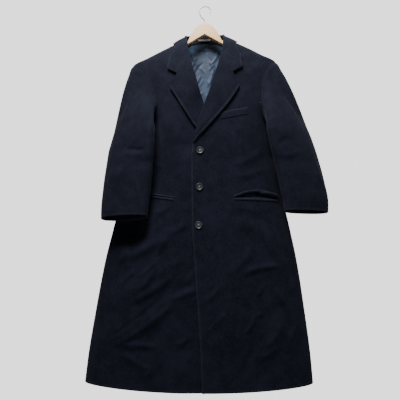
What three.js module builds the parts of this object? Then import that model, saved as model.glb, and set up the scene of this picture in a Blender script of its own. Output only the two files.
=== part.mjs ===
// A long single-breasted wool overcoat, hanging almost flat on a wooden hanger with a metal hook.
// Millimetres, +Z up. The coat faces -Y, and +X is the side of the wearer's left arm.
// The origin is the inside of the hook's bend, at its top, where a rail or a nail carries it.
import * as THREE from "three";

// Cloth and seams.
const woolThickness = 2.5;
const facedThickness = 2.8;
const satinThickness = 1.0;
const seamHalfGap = 0.2;
const sleeveSeamHalfGap = 0.7;
const armholeGap = 1.2;
const necklineGap = 0.8;
const layerGap = 0.6;
const liningTopGap = 1.8;

// Body of the coat.
const sideSeamAngle = 100;
const hemZ = -1290;
const hemRise = 18;
const hemRiseWidth = 340;
const hemRiseFromZ = -1000;
const roundness = 0.8;

// Beside and under each sleeve the body is pressed back: how far, over which heights and how gradually.
const pressed = { y: 13, top: -395, fullFrom: -455, fullTo: -780, bottom: -900, before: 22, beyond: 62 };

// The right front is pressed in where the left one lies over it, deepest under the lapel.
const lap = { depth: 3.8, lapelDepth: 11.4, deepFrom: -590, deepTo: -530, endFrom: -385, endTo: -310 };
const lapEdge = { outer: 70, inner: 8 };
const foldFade = { before: 0.15, within: 0.25 };
const flatRim = { front: 0.35, back: 0.5 };

// Lapels and collar.
const rollRadius = 5;
const rollFlat = 2;
const rollFadeFrom = -480;
const rollFadeTo = -526;
const smallestRoll = 3.2;
const collarFoldRadius = 4.4;
const leafBreak = 0.7;

// Hanger and hook.
const boardThickness = 12;
const boardBevel = 1.5;
const crownTopZ = -66;
const crownHalfWidth = 60;
const crownHeight = 70;
const chevronApexZ = -111;
const chevronSlope = 0.6;
const armReach = 214;
const armClearance = 0.8;
const wireRadius = 1.8;
const hookBendRadius = 20;

// Buttons.
const buttonRadius = 12;
const buttonThickness = 3.2;
const buttonHoleRadius = 1.3;
const buttonHoleOffset = 2.6;
const buttonX = -8;
const buttonHeights = [-552, -673, -796];

// Level sections of the body: half width, and how far the front, side and back lie along Y.
const bodySections = [
  { z: -118, halfWidth: 60, frontY: -14, sideY: 0, backY: 41 },
  { z: -128, halfWidth: 76, frontY: -20, sideY: 0, backY: 42 },
  { z: -136, halfWidth: 87, frontY: -24, sideY: 0, backY: 42.5 },
  { z: -145, halfWidth: 98, frontY: -28, sideY: 0, backY: 43 },
  { z: -161, halfWidth: 128, frontY: -34, sideY: 0, backY: 44 },
  { z: -178, halfWidth: 160, frontY: -38, sideY: 0, backY: 45 },
  { z: -204, halfWidth: 206, frontY: -43, sideY: 0, backY: 46 },
  { z: -226, halfWidth: 247, frontY: -46, sideY: 0, backY: 46 },
  { z: -260, halfWidth: 262, frontY: -50, sideY: 4, backY: 46 },
  { z: -330, halfWidth: 264, frontY: -52, sideY: 12, backY: 46 },
  { z: -467, halfWidth: 248, frontY: -52, sideY: 22, backY: 46 },
  { z: -560, halfWidth: 242, frontY: -50, sideY: 22, backY: 46 },
  { z: -620, halfWidth: 258, frontY: -49, sideY: 21, backY: 46 },
  { z: -700, halfWidth: 269, frontY: -51, sideY: 18, backY: 46 },
  { z: -800, halfWidth: 290, frontY: -54, sideY: 13, backY: 46 },
  { z: -920, halfWidth: 311, frontY: -55, sideY: 11, backY: 46 },
  { z: -1050, halfWidth: 328, frontY: -54, sideY: 10, backY: 46 },
  { z: -1210, halfWidth: 344, frontY: -51, sideY: 8, backY: 46 },
  { z: -1290, halfWidth: 349, frontY: -49, sideY: 8, backY: 46 },
];

// The coat hangs a little askew: height gained for each millimetre towards +X.
const askewSlopes = [
  { z: -230, slope: 0.045 },
  { z: -330, slope: 0.035 },
  { z: -600, slope: 0.022 },
  { z: -1290, slope: 0.014 },
];

// Its open front also sits a little towards +X, which dies out towards the shoulders and the waist.
const swayTable = [
  { z: -520, shift: 0 },
  { z: -400, shift: 3.5 },
  { z: -170, shift: 3.5 },
  { z: -110, shift: 0 },
];
const swayFrom = 130;
const swayTo = 230;

// Neckline, from the front end of the collar round to the centre of the back.
const neckline = [
  { angle: 13.3, z: -207 },
  { angle: 16.1, z: -190 },
  { angle: 21.9, z: -170 },
  { angle: 32.5, z: -152 },
  { angle: 49, z: -141 },
  { angle: 68, z: -137 },
  { angle: 90, z: -135 },
  { angle: 118, z: -131 },
  { angle: 148, z: -126 },
  { angle: 180, z: -122 },
];

// Armhole, once round from the shoulder point: down the front, under the arm and up the back.
// leave is the angle at which the sleeve turns out of the body there.
const armholeLeft = [
  { turn: 0, z: -226, angle: 90, leave: 4 },
  { turn: 25, z: -243, angle: 61, leave: 0 },
  { turn: 50, z: -272, angle: 49, leave: 8 },
  { turn: 80, z: -308, angle: 43, leave: 15 },
  { turn: 110, z: -346, angle: 42, leave: 30 },
  { turn: 145, z: -386, angle: 43, leave: 55 },
  { turn: 178, z: -422, angle: 46, leave: 85 },
  { turn: 210, z: -449, angle: 53, leave: 120 },
  { turn: 250, z: -463, angle: 70, leave: 138 },
  { turn: 285, z: -468, angle: 100, leave: 138 },
  { turn: 305, z: -450, angle: 124, leave: 90 },
  { turn: 332, z: -400, angle: 134, leave: 45 },
  { turn: 345, z: -340, angle: 134, leave: 20 },
  { turn: 353, z: -280, angle: 126, leave: 6 },
  { turn: 360, z: -226, angle: 90, leave: 4 },
];
const armholeRight = [
  { turn: 0, z: -226, angle: 90, leave: -9 },
  { turn: 25, z: -243, angle: 58, leave: -6 },
  { turn: 50, z: -272, angle: 44.5, leave: 5 },
  { turn: 80, z: -308, angle: 37.5, leave: 15 },
  { turn: 110, z: -346, angle: 33, leave: 30 },
  { turn: 145, z: -386, angle: 31.5, leave: 55 },
  { turn: 178, z: -422, angle: 34, leave: 85 },
  { turn: 210, z: -449, angle: 43, leave: 120 },
  { turn: 250, z: -463, angle: 64, leave: 120 },
  { turn: 285, z: -468, angle: 100, leave: 112 },
  { turn: 305, z: -450, angle: 124, leave: 80 },
  { turn: 332, z: -400, angle: 134, leave: 45 },
  { turn: 345, z: -340, angle: 134, leave: 20 },
  { turn: 353, z: -280, angle: 126, leave: 6 },
  { turn: 360, z: -226, angle: 90, leave: -9 },
];
const armholeTurns = [
  0, 12, 25, 38, 50, 65, 80, 95, 110, 127, 145, 162, 178, 194, 210, 230, 250, 267, 285,
  296, 305, 319, 332, 345, 353, 360,
];
const frontSleeveSeamTurn = 162;
const backSleeveSeamTurn = 305;
const underarmTurn = 285;

// Level sections of each hanging sleeve: centre and half width along X, centre along Y,
// depth in front and behind, how much the outer edge lies further back, and its fuller back.
const sleeveLeft = [
  { z: -500, centreX: 286, halfWidth: 76, centreY: -37, front: 37, behind: 29, shear: 0.45, fuller: 0.35 },
  { z: -560, centreX: 302, halfWidth: 76.5, centreY: -38, front: 36, behind: 30, shear: 0.4, fuller: 0.3 },
  { z: -620, centreX: 314, halfWidth: 76, centreY: -40, front: 35, behind: 32, shear: 0.3, fuller: 0.3 },
  { z: -690, centreX: 326, halfWidth: 76, centreY: -45, front: 33, behind: 32, shear: 0.22, fuller: 0.15 },
  { z: -730, centreX: 330, halfWidth: 73, centreY: -49, front: 31, behind: 31, shear: 0.18, fuller: 0.05 },
  { z: -755, centreX: 329, halfWidth: 71, centreY: -52, front: 28, behind: 29, shear: 0.15, fuller: 0 },
];
const sleeveRight = [
  { z: -500, centreX: 229, halfWidth: 76, centreY: -38.5, front: 36, behind: 25, shear: 0.45, fuller: 0.2 },
  { z: -560, centreX: 234, halfWidth: 81, centreY: -38, front: 36, behind: 29, shear: 0.4, fuller: 0.3 },
  { z: -620, centreX: 237, halfWidth: 80.5, centreY: -41, front: 35, behind: 32, shear: 0.3, fuller: 0.3 },
  { z: -690, centreX: 240, halfWidth: 80, centreY: -47, front: 33, behind: 32, shear: 0.22, fuller: 0.15 },
  { z: -735, centreX: 242, halfWidth: 78, centreY: -52, front: 31, behind: 31, shear: 0.18, fuller: 0.05 },
  { z: -772, centreX: 242, halfWidth: 75, centreY: -56, front: 28, behind: 29, shear: 0.15, fuller: 0 },
];
const sleeveCapSteps = [0, 0.14, 0.3, 0.5, 0.75, 1];
const capPull = 0.8;
const cuffTiltLeft = -0.09;
const cuffTiltRight = -0.2;

// Inner edge of each sleeve, beside which the body is pressed back.
const pressedFromLeft = [
  { z: -395, x: 194 },
  { z: -489, x: 209 },
  { z: -595, x: 233 },
  { z: -699, x: 251 },
  { z: -900, x: 275 },
];
const pressedFromRight = [
  { z: -395, x: 153 },
  { z: -600, x: 156 },
  { z: -764, x: 167 },
  { z: -900, x: 185 },
];

// Roll line of each lapel, where it turns over, down to the top button.
const rollTop = [
  { z: -150, x: 61 },
  { z: -179, x: 59 },
  { z: -209, x: 53.5 },
  { z: -253, x: 43 },
  { z: -292, x: 30.5 },
  { z: -340, x: 17.5 },
  { z: -382, x: 3.5 },
];
const rollLeft = [
  ...rollTop,
  { z: -419, x: -9 },
  { z: -456, x: -19 },
  { z: -500, x: -28 },
  { z: -530, x: -33 },
];
const rollRight = [
  ...rollTop.map((row) => ({ z: row.z, x: -row.x })),
  { z: -420, x: 8.5 },
  { z: -460, x: 20 },
  { z: -530, x: 34 },
];

// Lapel rows: where each starts on the roll line and where it ends on the outer edge.
const lapelRowsLeft = [
  { rollZ: -206, outerX: 114.5, outerZ: -331 },
  { rollZ: -238, outerX: 108, outerZ: -345 },
  { rollZ: -270, outerX: 99, outerZ: -361 },
  { rollZ: -305, outerX: 87, outerZ: -380 },
  { rollZ: -340, outerX: 73, outerZ: -399 },
  { rollZ: -375, outerX: 57, outerZ: -420 },
  { rollZ: -410, outerX: 39, outerZ: -442 },
  { rollZ: -445, outerX: 20, outerZ: -465 },
  { rollZ: -478, outerX: 2, outerZ: -487 },
  { rollZ: -506, outerX: -13, outerZ: -504 },
  { rollZ: -524, outerX: -24, outerZ: -520 },
];
const lapelRowsRight = [
  { rollZ: -206, outerX: -114.5, outerZ: -331 },
  { rollZ: -238, outerX: -107, outerZ: -345 },
  { rollZ: -270, outerX: -98, outerZ: -359 },
  { rollZ: -305, outerX: -87, outerZ: -377 },
  { rollZ: -340, outerX: -74, outerZ: -400 },
  { rollZ: -375, outerX: -59, outerZ: -424 },
  { rollZ: -410, outerX: -41, outerZ: -450 },
  { rollZ: -445, outerX: -18, outerZ: -477 },
  { rollZ: -478, outerX: 5, outerZ: -499 },
  { rollZ: -506, outerX: 20, outerZ: -514 },
];

// Front edges below the lapels: the left front closes over the right one.
const edgeLeft = [
  { z: -540, x: -32 },
  { z: -560, x: -34 },
  { z: -656, x: -32 },
  { z: -717, x: -30 },
  { z: -812, x: -27 },
  { z: -895, x: -19 },
  { z: -975, x: -12 },
  { z: -1080, x: -3 },
  { z: -1181, x: 6 },
  { z: -1288, x: 12 },
];
const edgeRight = [
  { z: -540, x: 30 },
  { z: -700, x: 34 },
  { z: -900, x: 40 },
  { z: -1288, x: 56 },
];

// Collar stations, from its front end to the centre of the back: seam on the neckline,
// top of the fold, the way the fold faces, and the outer edge on the body, with its lift.
const collarStations = [
  {
    seamAngle: 13.3, x: 54.5, y: -45, z: -203.5,
    faceX: -0.97, faceY: 0, faceZ: 0.25,
    edgeAngle: 23.3, edgeZ: -264, lift: 7.2,
  },
  {
    seamAngle: 16.1, x: 58.5, y: -42, z: -183,
    faceX: -0.95, faceY: -0.15, faceZ: 0.3,
    edgeAngle: 23.1, edgeZ: -240, lift: 7.1,
  },
  {
    seamAngle: 21.9, x: 61, y: -37.5, z: -163,
    faceX: -0.85, faceY: -0.3, faceZ: 0.42,
    edgeAngle: 27, edgeZ: -208, lift: 6.8,
  },
  {
    seamAngle: 32.5, x: 63, y: -29, z: -144,
    faceX: -0.6, faceY: -0.4, faceZ: 0.7,
    edgeAngle: 36, edgeZ: -178, lift: 6.2,
  },
  {
    seamAngle: 49, x: 66, y: -14, z: -124,
    faceX: -0.3, faceY: -0.3, faceZ: 0.9,
    edgeAngle: 54, edgeZ: -160, lift: 5.6,
  },
  {
    seamAngle: 90, x: 67, y: 5, z: -108,
    faceX: 0, faceY: 0, faceZ: 1,
    edgeAngle: 90, edgeZ: -151, lift: 5,
  },
  {
    seamAngle: 118, x: 63, y: 22, z: -99,
    faceX: 0, faceY: 0, faceZ: 1,
    edgeAngle: 122, edgeZ: -157, lift: 5,
  },
  {
    seamAngle: 148, x: 44, y: 37, z: -90,
    faceX: 0, faceY: 0, faceZ: 1,
    edgeAngle: 150, edgeZ: -160, lift: 5,
  },
  {
    seamAngle: 180, x: 0, y: 44, z: -86,
    faceX: 0, faceY: 0, faceZ: 1,
    edgeAngle: 180, edgeZ: -162, lift: 5,
  },
];
const notch = { x: 94, z: -282 };
const notchReach = 2;
const collarRowsPerStation = 2;
const nearby = 0.05;
const standSteps = 2;
const foldSteps = 5;
const leafSteps = 5;
const ridgeCrowding = 3;
const ridgeSpread = 14;

// The largest folds: a line on the coat, the half width of the ridge and its height.
const frontFolds = [
  { x0: -310, z0: -1165, x1: -10, z1: -1000, width: 26, height: 6 },
  { x0: -300, z0: -1045, x1: -60, z1: -905, width: 24, height: 5 },
  { x0: -170, z0: -1250, x1: -60, z1: -1090, width: 24, height: 4 },
  { x0: -250, z0: -890, x1: -215, z1: -800, width: 17, height: 5 },
  { x0: -255, z0: -900, x1: -60, z1: -830, width: 20, height: 4 },
  { x0: 330, z0: -960, x1: 190, z1: -1050, width: 20, height: 4 },
  { x0: 300, z0: -1020, x1: 160, z1: -1240, width: 26, height: 5 },
  { x0: 110, z0: -1220, x1: 80, z1: -860, width: 28, height: 4 },
  { x0: -120, z0: -640, x1: -105, z1: -400, width: 18, height: 4 },
  { x0: 130, z0: -650, x1: 105, z1: -480, width: 20, height: 3 },
];
const backFolds = [
  { x0: -300, z0: -1230, x1: -90, z1: -760, width: 30, height: 5 },
  { x0: -120, z0: -1240, x1: -60, z1: -700, width: 26, height: 4 },
  { x0: 90, z0: -1250, x1: 60, z1: -780, width: 28, height: 4 },
  { x0: 290, z0: -1210, x1: 120, z1: -820, width: 30, height: 5 },
  { x0: -150, z0: -640, x1: -120, z1: -330, width: 24, height: 4 },
  { x0: 150, z0: -620, x1: 125, z1: -340, width: 24, height: 4 },
];
const sleeveFolds = [
  { turn: 150, z: -600, turnWidth: 40, zWidth: 16, height: -4 },
  { turn: 60, z: -640, turnWidth: 45, zWidth: 22, height: 3 },
  { turn: 330, z: -590, turnWidth: 40, zWidth: 20, height: -4 },
];

// Pockets: corners of the breast welt, and the lips of the hip pockets.
const welt = { innerX: 54, outerX: 146, innerTop: -423, outerTop: -404, depth: 24, thickness: 2 };
const jetWidth = 6;
const jetThickness = 1.8;
const jetColumns = 12;
const jetGap = 1.0;
const pocketLips = [
  { name: "pocket_left_upper_jet", innerX: 102, outerX: 246, innerZ: -704, outerZ: -698, bow: 16 },
  { name: "pocket_left_lower_jet", innerX: 102, outerX: 246, innerZ: -712, outerZ: -714, bow: 0 },
  { name: "pocket_right_upper_jet", innerX: -87, outerX: -198, innerZ: -707, outerZ: -689.5, bow: 0 },
  { name: "pocket_right_lower_jet", innerX: -87, outerX: -198, innerZ: -715, outerZ: -697.5, bow: 0 },
];

// Lining of the upper back, as far as it shows in the open neck.
const liningTop = [
  { angle: 143, z: -140 },
  { angle: 150, z: -131 },
  { angle: 180, z: -124 },
];
const liningBottomZ = -640;
const liningSlack = 6;
const liningRows = 9;
const liningColumns = 12;

// Hanger loop on the collar stand.
const loop = { halfLength: 22, centreZ: -110, halfHeight: 3, thickness: 1.2, backY: 36.2 };

// Rows and columns of the panels, and where their inner ends stand.
const panelColumns = 14;
const backColumns = 8;
const skirtRows = 13;
const backShoulderSteps = 5;
const besideLapelTop = -216;
const shoulderBladeZ = -218;
const lastRollZ = -526;
const besideSeam = 0.5;

// Hanger outline, hook path and where the sleeves turn down.
const armHeights = [-139, -148, -160, -173, -186, -200];
const crownSteps = 12;
const crownPower = 2.1;
const armTip = { down: 10, corner: 9, up: 8 };
const chevronHalfFlat = 6;
const hookRise = [
  { x: 0, above: 0.35 },
  { x: 0, above: 7 },
  { x: -3.5, above: 16 },
  { x: -13, above: 27 },
];
const hookTipX = 18.7;
const hookTipDrop = 7.5;
const hookBendSteps = 8;
const hookSteps = 34;
const buttonBevel = 0.8;
const armCentre = { x: 225, y: 0, z: -345 };
const cuffTiltFromZ = -600;

const surfaces = {
  wool: { color: 0x1b1e2b, roughness: 0.95, metalness: 0 },
  satin: { color: 0x4d6480, roughness: 0.45, metalness: 0 },
  tape: { color: 0x6c7078, roughness: 0.8, metalness: 0 },
  horn: { color: 0x3c3c40, roughness: 0.4, metalness: 0 },
  wood: { color: 0xe6c795, roughness: 0.5, metalness: 0 },
  steel: { color: 0xb8bcc2, roughness: 0.3, metalness: 1 },
};

// Smooth monotone curve through the rows of a table, held level past both ends.
function curveThrough(rows, along, column) {
  const sorted = [...rows].sort((a, b) => a[along] - b[along]);
  const at = sorted.map((row) => row[along]);
  const value = sorted.map((row) => row[column]);
  const rise = at.slice(1).map((next, i) => (value[i + 1] - value[i]) / (next - at[i]));
  const slope = value.map((_, i) => {
    const before = rise[i - 1] ?? rise[0];
    const after = rise[i] ?? rise[rise.length - 1];
    return before * after <= 0 ? 0 : (2 * before * after) / (before + after);
  });
  return (where) => {
    if (where <= at[0]) {
      return value[0];
    }
    if (where >= at[at.length - 1]) {
      return value[value.length - 1];
    }
    const i = at.findIndex((next) => next > where) - 1;
    const span = at[i + 1] - at[i];
    const t = (where - at[i]) / span;
    const start = value[i] * (1 + 2 * t) * (1 - t) ** 2 + slope[i] * span * t * (1 - t) ** 2;
    const end = value[i + 1] * t ** 2 * (3 - 2 * t) + slope[i + 1] * span * t ** 2 * (t - 1);
    return start + end;
  };
}

function curvesOf(rows, along) {
  const columns = Object.keys(rows[0]).filter((key) => typeof rows[0][key] === "number" && key !== along);
  return Object.fromEntries(columns.map((key) => [key, curveThrough(rows, along, key)]));
}

// The value of every curve at one place.
function sectionAt(curves, where) {
  return Object.fromEntries(Object.entries(curves).map(([key, curve]) => [key, curve(where)]));
}

const body = curvesOf(bodySections, "z");
const askew = curveThrough(askewSlopes, "z", "slope");
const sway = curveThrough(swayTable, "z", "shift");
const necklineZ = curveThrough(neckline, "angle", "z");
const armholes = { left: curvesOf(armholeLeft, "turn"), right: curvesOf(armholeRight, "turn") };
const sleeves = { left: curvesOf(sleeveLeft, "z"), right: curvesOf(sleeveRight, "z") };
const sleeveTables = { left: sleeveLeft, right: sleeveRight };
const cuffTilt = { left: cuffTiltLeft, right: cuffTiltRight };
const pressedFrom = {
  left: curveThrough(pressedFromLeft, "z", "x"),
  right: curveThrough(pressedFromRight, "z", "x"),
};
const rolls = { left: curveThrough(rollLeft, "z", "x"), right: curveThrough(rollRight, "z", "x") };
const edges = { left: curveThrough(edgeLeft, "z", "x"), right: curveThrough(edgeRight, "z", "x") };
const collarAt = curvesOf(collarStations.map((station, index) => ({ ...station, index })), "index");
const neckStations = [4.5, 4, 3.5, 3, 2.5, 2, 1.5, 1, 0.5, 0];
const neckAngles = neckStations.map((station) => collarAt.seamAngle(station));
const outward = { left: 1, right: -1 };

const mix = THREE.MathUtils.lerp;
const radians = THREE.MathUtils.degToRad;
const vector = (x, y, z) => new THREE.Vector3(x, y, z);

function smoothStep(from, to, value) {
  const t = THREE.MathUtils.clamp((value - from) / (to - from), 0, 1);
  return t * t * (3 - 2 * t);
}

function softPower(value, power) {
  return Math.sign(value) * Math.abs(value) ** power;
}

// Height of a set of folds at a place on the coat: soft ridges that fade at both ends.
function foldHeight(folds, x, z) {
  return folds.reduce((height, fold) => {
    const runX = fold.x1 - fold.x0;
    const runZ = fold.z1 - fold.z0;
    const length = Math.hypot(runX, runZ);
    const along = ((x - fold.x0) * runX + (z - fold.z0) * runZ) / length ** 2;
    const across = ((x - fold.x0) * runZ - (z - fold.z0) * runX) / length / fold.width;
    const begins = smoothStep(-foldFade.before, foldFade.within, along);
    const fade = begins * smoothStep(-foldFade.before, foldFade.within, 1 - along);
    return height + fold.height * fade * Math.exp(-across * across);
  }, 0);
}

// How far the right front is pressed in where the left front and its lapel lie over it.
function lapUnder(x, z) {
  const coverX = z > edgeLeft[0].z ? rolls.left(z) : edges.left(z);
  const fullDepth = mix(lap.depth, lap.lapelDepth, smoothStep(lap.deepFrom, lap.deepTo, z));
  const depth = fullDepth * (1 - smoothStep(lap.endFrom, lap.endTo, z));
  return depth * smoothStep(coverX - lapEdge.outer, coverX - lapEdge.inner, x);
}

// A place on the outside of the coat: angle 0 is the centre front, 90 the side, 180 the centre back,
// positive towards +X. Only the right front is pressed in under the left one.
function coatPoint(angle, z, isUnder = false) {
  const turn = radians(angle);
  const x = body.halfWidth(z) * softPower(Math.sin(turn), roundness);
  const depth = softPower(Math.cos(turn), roundness);
  const sideY = body.sideY(z);
  let y = depth > 0 ? mix(sideY, body.frontY(z), depth) : mix(sideY, body.backY(z), -depth);
  const rise = hemRise * (x / hemRiseWidth) ** 2 * smoothStep(hemRiseFromZ, hemZ, z);
  if (depth > 0) {
    const flatness = smoothStep(0, flatRim.front, depth);
    y -= flatness * foldHeight(frontFolds, x, z);
    const from = pressedFrom[x > 0 ? "left" : "right"](z);
    const begins = smoothStep(pressed.top, pressed.fullFrom, z);
    const ends = smoothStep(pressed.fullTo, pressed.bottom, z);
    const beside = smoothStep(from - pressed.before, from + pressed.beyond, Math.abs(x));
    y += begins * (1 - ends) * beside * Math.max(0, pressed.y - y);
    y += isUnder ? lapUnder(x, z) : 0;
  } else {
    y += smoothStep(0, flatRim.back, -depth) * foldHeight(backFolds, x, z);
  }
  return vector(x, y, z + rise);
}

function coatNormal(angle, z, isUnder = false) {
  const across = coatPoint(angle + 0.6, z, isUnder).sub(coatPoint(angle - 0.6, z, isUnder));
  const up = coatPoint(angle, z + 0.6, isUnder).sub(coatPoint(angle, z - 0.6, isUnder));
  return across.cross(up).normalize();
}

// Angle of the front of the coat at a given x.
function frontAngle(x, z) {
  const share = THREE.MathUtils.clamp(Math.abs(x) / body.halfWidth(z), 0, 1);
  return Math.sign(x) * THREE.MathUtils.radToDeg(Math.asin(share ** (1 / roundness)));
}

// A place on the front, moved out from the cloth.
function onFront(x, z, out, isUnder = false) {
  const angle = frontAngle(x, z);
  return coatPoint(angle, z, isUnder).addScaledVector(coatNormal(angle, z, isUnder), out);
}

// A closed wall between two grids of points of the same size.
function wallBetween(face, inside) {
  const rows = face.length;
  const columns = face[0].length;
  const count = rows * columns;
  const points = [...face.flat(), ...inside.flat()];
  const triangles = [];
  const faceOf = (index) => points[index % count];
  const quad = (a, b, c, d) => {
    const firstIsShorter = faceOf(a).distanceTo(faceOf(c)) <= faceOf(b).distanceTo(faceOf(d));
    triangles.push(...(firstIsShorter ? [a, b, c, a, c, d] : [b, c, d, b, d, a]));
  };
  const at = (row, column, layer) => layer * count + row * columns + column;
  for (let row = 0; row < rows - 1; row += 1) {
    for (let column = 0; column < columns - 1; column += 1) {
      quad(at(row, column, 0), at(row, column + 1, 0), at(row + 1, column + 1, 0), at(row + 1, column, 0));
      quad(at(row, column, 1), at(row + 1, column, 1), at(row + 1, column + 1, 1), at(row, column + 1, 1));
    }
  }
  const rim = (a, b) => triangles.push(a, a + count, b + count, a, b + count, b);
  for (let column = 0; column < columns - 1; column += 1) {
    rim(at(0, column, 0), at(0, column + 1, 0));
    rim(at(rows - 1, column + 1, 0), at(rows - 1, column, 0));
  }
  for (let row = 0; row < rows - 1; row += 1) {
    rim(at(row, columns - 1, 0), at(row + 1, columns - 1, 0));
    rim(at(row + 1, 0, 0), at(row, 0, 0));
  }
  return solidFrom(points, triangles);
}

// Six times the volume inside a list of triangles, negative where they face inwards.
function signedVolume(points, triangles) {
  let volume = 0;
  for (let i = 0; i < triangles.length; i += 3) {
    const [a, b, c] = [points[triangles[i]], points[triangles[i + 1]], points[triangles[i + 2]]];
    volume += a.dot(vector(0, 0, 0).crossVectors(b, c));
  }
  return volume;
}

function solidFrom(points, triangles) {
  const facing = signedVolume(points, triangles) > 0 ? triangles : triangles.slice().reverse();
  const geometry = new THREE.BufferGeometry();
  geometry.setAttribute("position", new THREE.Float32BufferAttribute(points.flatMap((p) => p.toArray()), 3));
  geometry.setIndex(facing);
  geometry.computeVertexNormals();
  return geometry;
}

// Normals of a grid of points, from the neighbours of each.
function gridNormals(grid) {
  const last = grid.length - 1;
  return grid.map((row, i) =>
    row.map((_, j) => {
      const down = grid[Math.min(i + 1, last)][j].clone().sub(grid[Math.max(i - 1, 0)][j]);
      const across = row[Math.min(j + 1, row.length - 1)].clone().sub(row[Math.max(j - 1, 0)]);
      return down.cross(across).normalize();
    }),
  );
}

function movedAlong(grid, normals, distance) {
  return grid.map((row, i) => row.map((point, j) => point.clone().addScaledVector(normals[i][j], distance)));
}

// Steps along a row between two ends, measured on the cloth and closer together at the side.
function evenSteps(pointAt, angleAt, steps) {
  const fine = 64;
  const lengths = [0];
  let previous = pointAt(0);
  for (let i = 1; i <= fine; i += 1) {
    const next = pointAt(i / fine);
    const fromSide = (Math.abs(angleAt((i - 0.5) / fine)) - 90) / ridgeSpread;
    const crowding = 1 + ridgeCrowding * Math.exp(-fromSide * fromSide);
    lengths.push(lengths[i - 1] + next.distanceTo(previous) * crowding);
    previous = next;
  }
  const total = lengths[fine];
  return Array.from({ length: steps + 1 }, (_, step) => {
    const target = (total * step) / steps;
    const i = Math.max(1, lengths.findIndex((length) => length >= target - 1e-9));
    return (i - 1 + (target - lengths[i - 1]) / (lengths[i] - lengths[i - 1])) / fine;
  });
}

// The angle step that moves a point on the coat by a given distance.
function angleFor(distance, angle, z) {
  const step = 0.5;
  return (distance * 2 * step) / coatPoint(angle + step, z).distanceTo(coatPoint(angle - step, z));
}

// A panel of the body from rows that each run between two places on the coat.
function panel(rows, steps, isUnder) {
  const face = [];
  const normals = [];
  for (const row of rows) {
    const angleAt = (t) => mix(row.fromAngle, row.toAngle, t);
    const heightAt = (t) => mix(row.fromZ, row.toZ, t);
    const pointAt = (t) => coatPoint(angleAt(t), heightAt(t), isUnder);
    const places = evenSteps(pointAt, angleAt, steps);
    face.push(places.map(pointAt));
    normals.push(places.map((t) => coatNormal(angleAt(t), heightAt(t), isUnder)));
  }
  return wallBetween(face, movedAlong(face, normals, -woolThickness));
}

// Outer radius of the lapel's roll, which tightens towards the top button.
function rollRadiusAt(z) {
  return mix(rollRadius, smallestRoll, smoothStep(rollFadeFrom, rollFadeTo, z));
}

// The way from the roll line onto the chest, level with the cloth.
function rollSideways(side, z) {
  const lean = rolls[side](z + 1) - rolls[side](z - 1);
  return { x: 2 / Math.hypot(lean, 2), z: -lean / Math.hypot(lean, 2) };
}

// The inner edge of a front beside its lapel, at a distance from the roll line.
function besideRoll(side, z, distance) {
  const sideways = rollSideways(side, z);
  return {
    x: rolls[side](z) + outward[side] * distance * sideways.x,
    z: z + distance * sideways.z * outward[side],
  };
}

// Rows of a front from the shoulder to the hem, from its inner edge to its outer one.
function frontRows(side) {
  const sign = outward[side];
  const armhole = armholes[side];
  const rows = [];
  const addRow = (inner, outerAngle, outerZ) => {
    const gap = angleFor(seamHalfGap, outerAngle, outerZ);
    rows.push({ fromAngle: inner.angle, fromZ: inner.z, toAngle: sign * (outerAngle - gap), toZ: outerZ });
  };
  neckAngles.forEach((angle, i) => {
    const outerZ = mix(necklineZ(90) - seamHalfGap, armhole.z(0), i / (neckAngles.length - besideSeam));
    addRow({ angle: sign * angle, z: necklineZ(angle) }, 90, outerZ);
  });
  const innerAt = (z) => {
    const beside = besideRoll(side, z, rollRadiusAt(z) + rollFlat + 2 * seamHalfGap);
    return { angle: frontAngle(beside.x, beside.z), z: beside.z };
  };
  const turns = armholeTurns.filter((turn) => turn <= underarmTurn);
  turns.forEach((turn, i) => {
    const z = mix(besideLapelTop, lastRollZ, i / (turns.length - 1));
    addRow(innerAt(z), armhole.angle(turn), armhole.z(turn));
  });
  for (let i = 1; i <= skirtRows; i += 1) {
    const t = i / skirtRows;
    const z = mix(lastRollZ, hemZ, t);
    const outerZ = mix(armhole.z(underarmTurn), hemZ, t);
    addRow({ angle: frontAngle(edges[side](z), z), z }, sideSeamAngle, outerZ);
  }
  return rows;
}

// Rows of a back from the shoulder to the hem, from the centre seam to the outer edge.
function backRows(side) {
  const sign = outward[side];
  const armhole = armholes[side];
  const rows = [];
  const addRow = (innerZ, outerAngle, outerZ) => {
    const inner = 180 - angleFor(seamHalfGap, 180, innerZ);
    const gap = angleFor(seamHalfGap, outerAngle, outerZ);
    rows.push({ fromAngle: sign * inner, fromZ: innerZ, toAngle: sign * (outerAngle + gap), toZ: outerZ });
  };
  for (let i = 0; i < backShoulderSteps; i += 1) {
    const t = i / (backShoulderSteps + besideSeam);
    const outerZ = mix(necklineZ(90) - seamHalfGap, armhole.z(0), t);
    addRow(mix(necklineZ(180) - seamHalfGap, shoulderBladeZ, t), 90, outerZ);
  }
  const turns = armholeTurns.filter((turn) => turn >= underarmTurn).reverse();
  turns.forEach((turn, i) => {
    addRow(mix(shoulderBladeZ, lastRollZ, i / (turns.length - 1)), armhole.angle(turn), armhole.z(turn));
  });
  for (let i = 1; i <= skirtRows; i += 1) {
    const t = i / skirtRows;
    addRow(mix(lastRollZ, hemZ, t), sideSeamAngle, mix(armhole.z(underarmTurn), hemZ, t));
  }
  return rows;
}

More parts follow.
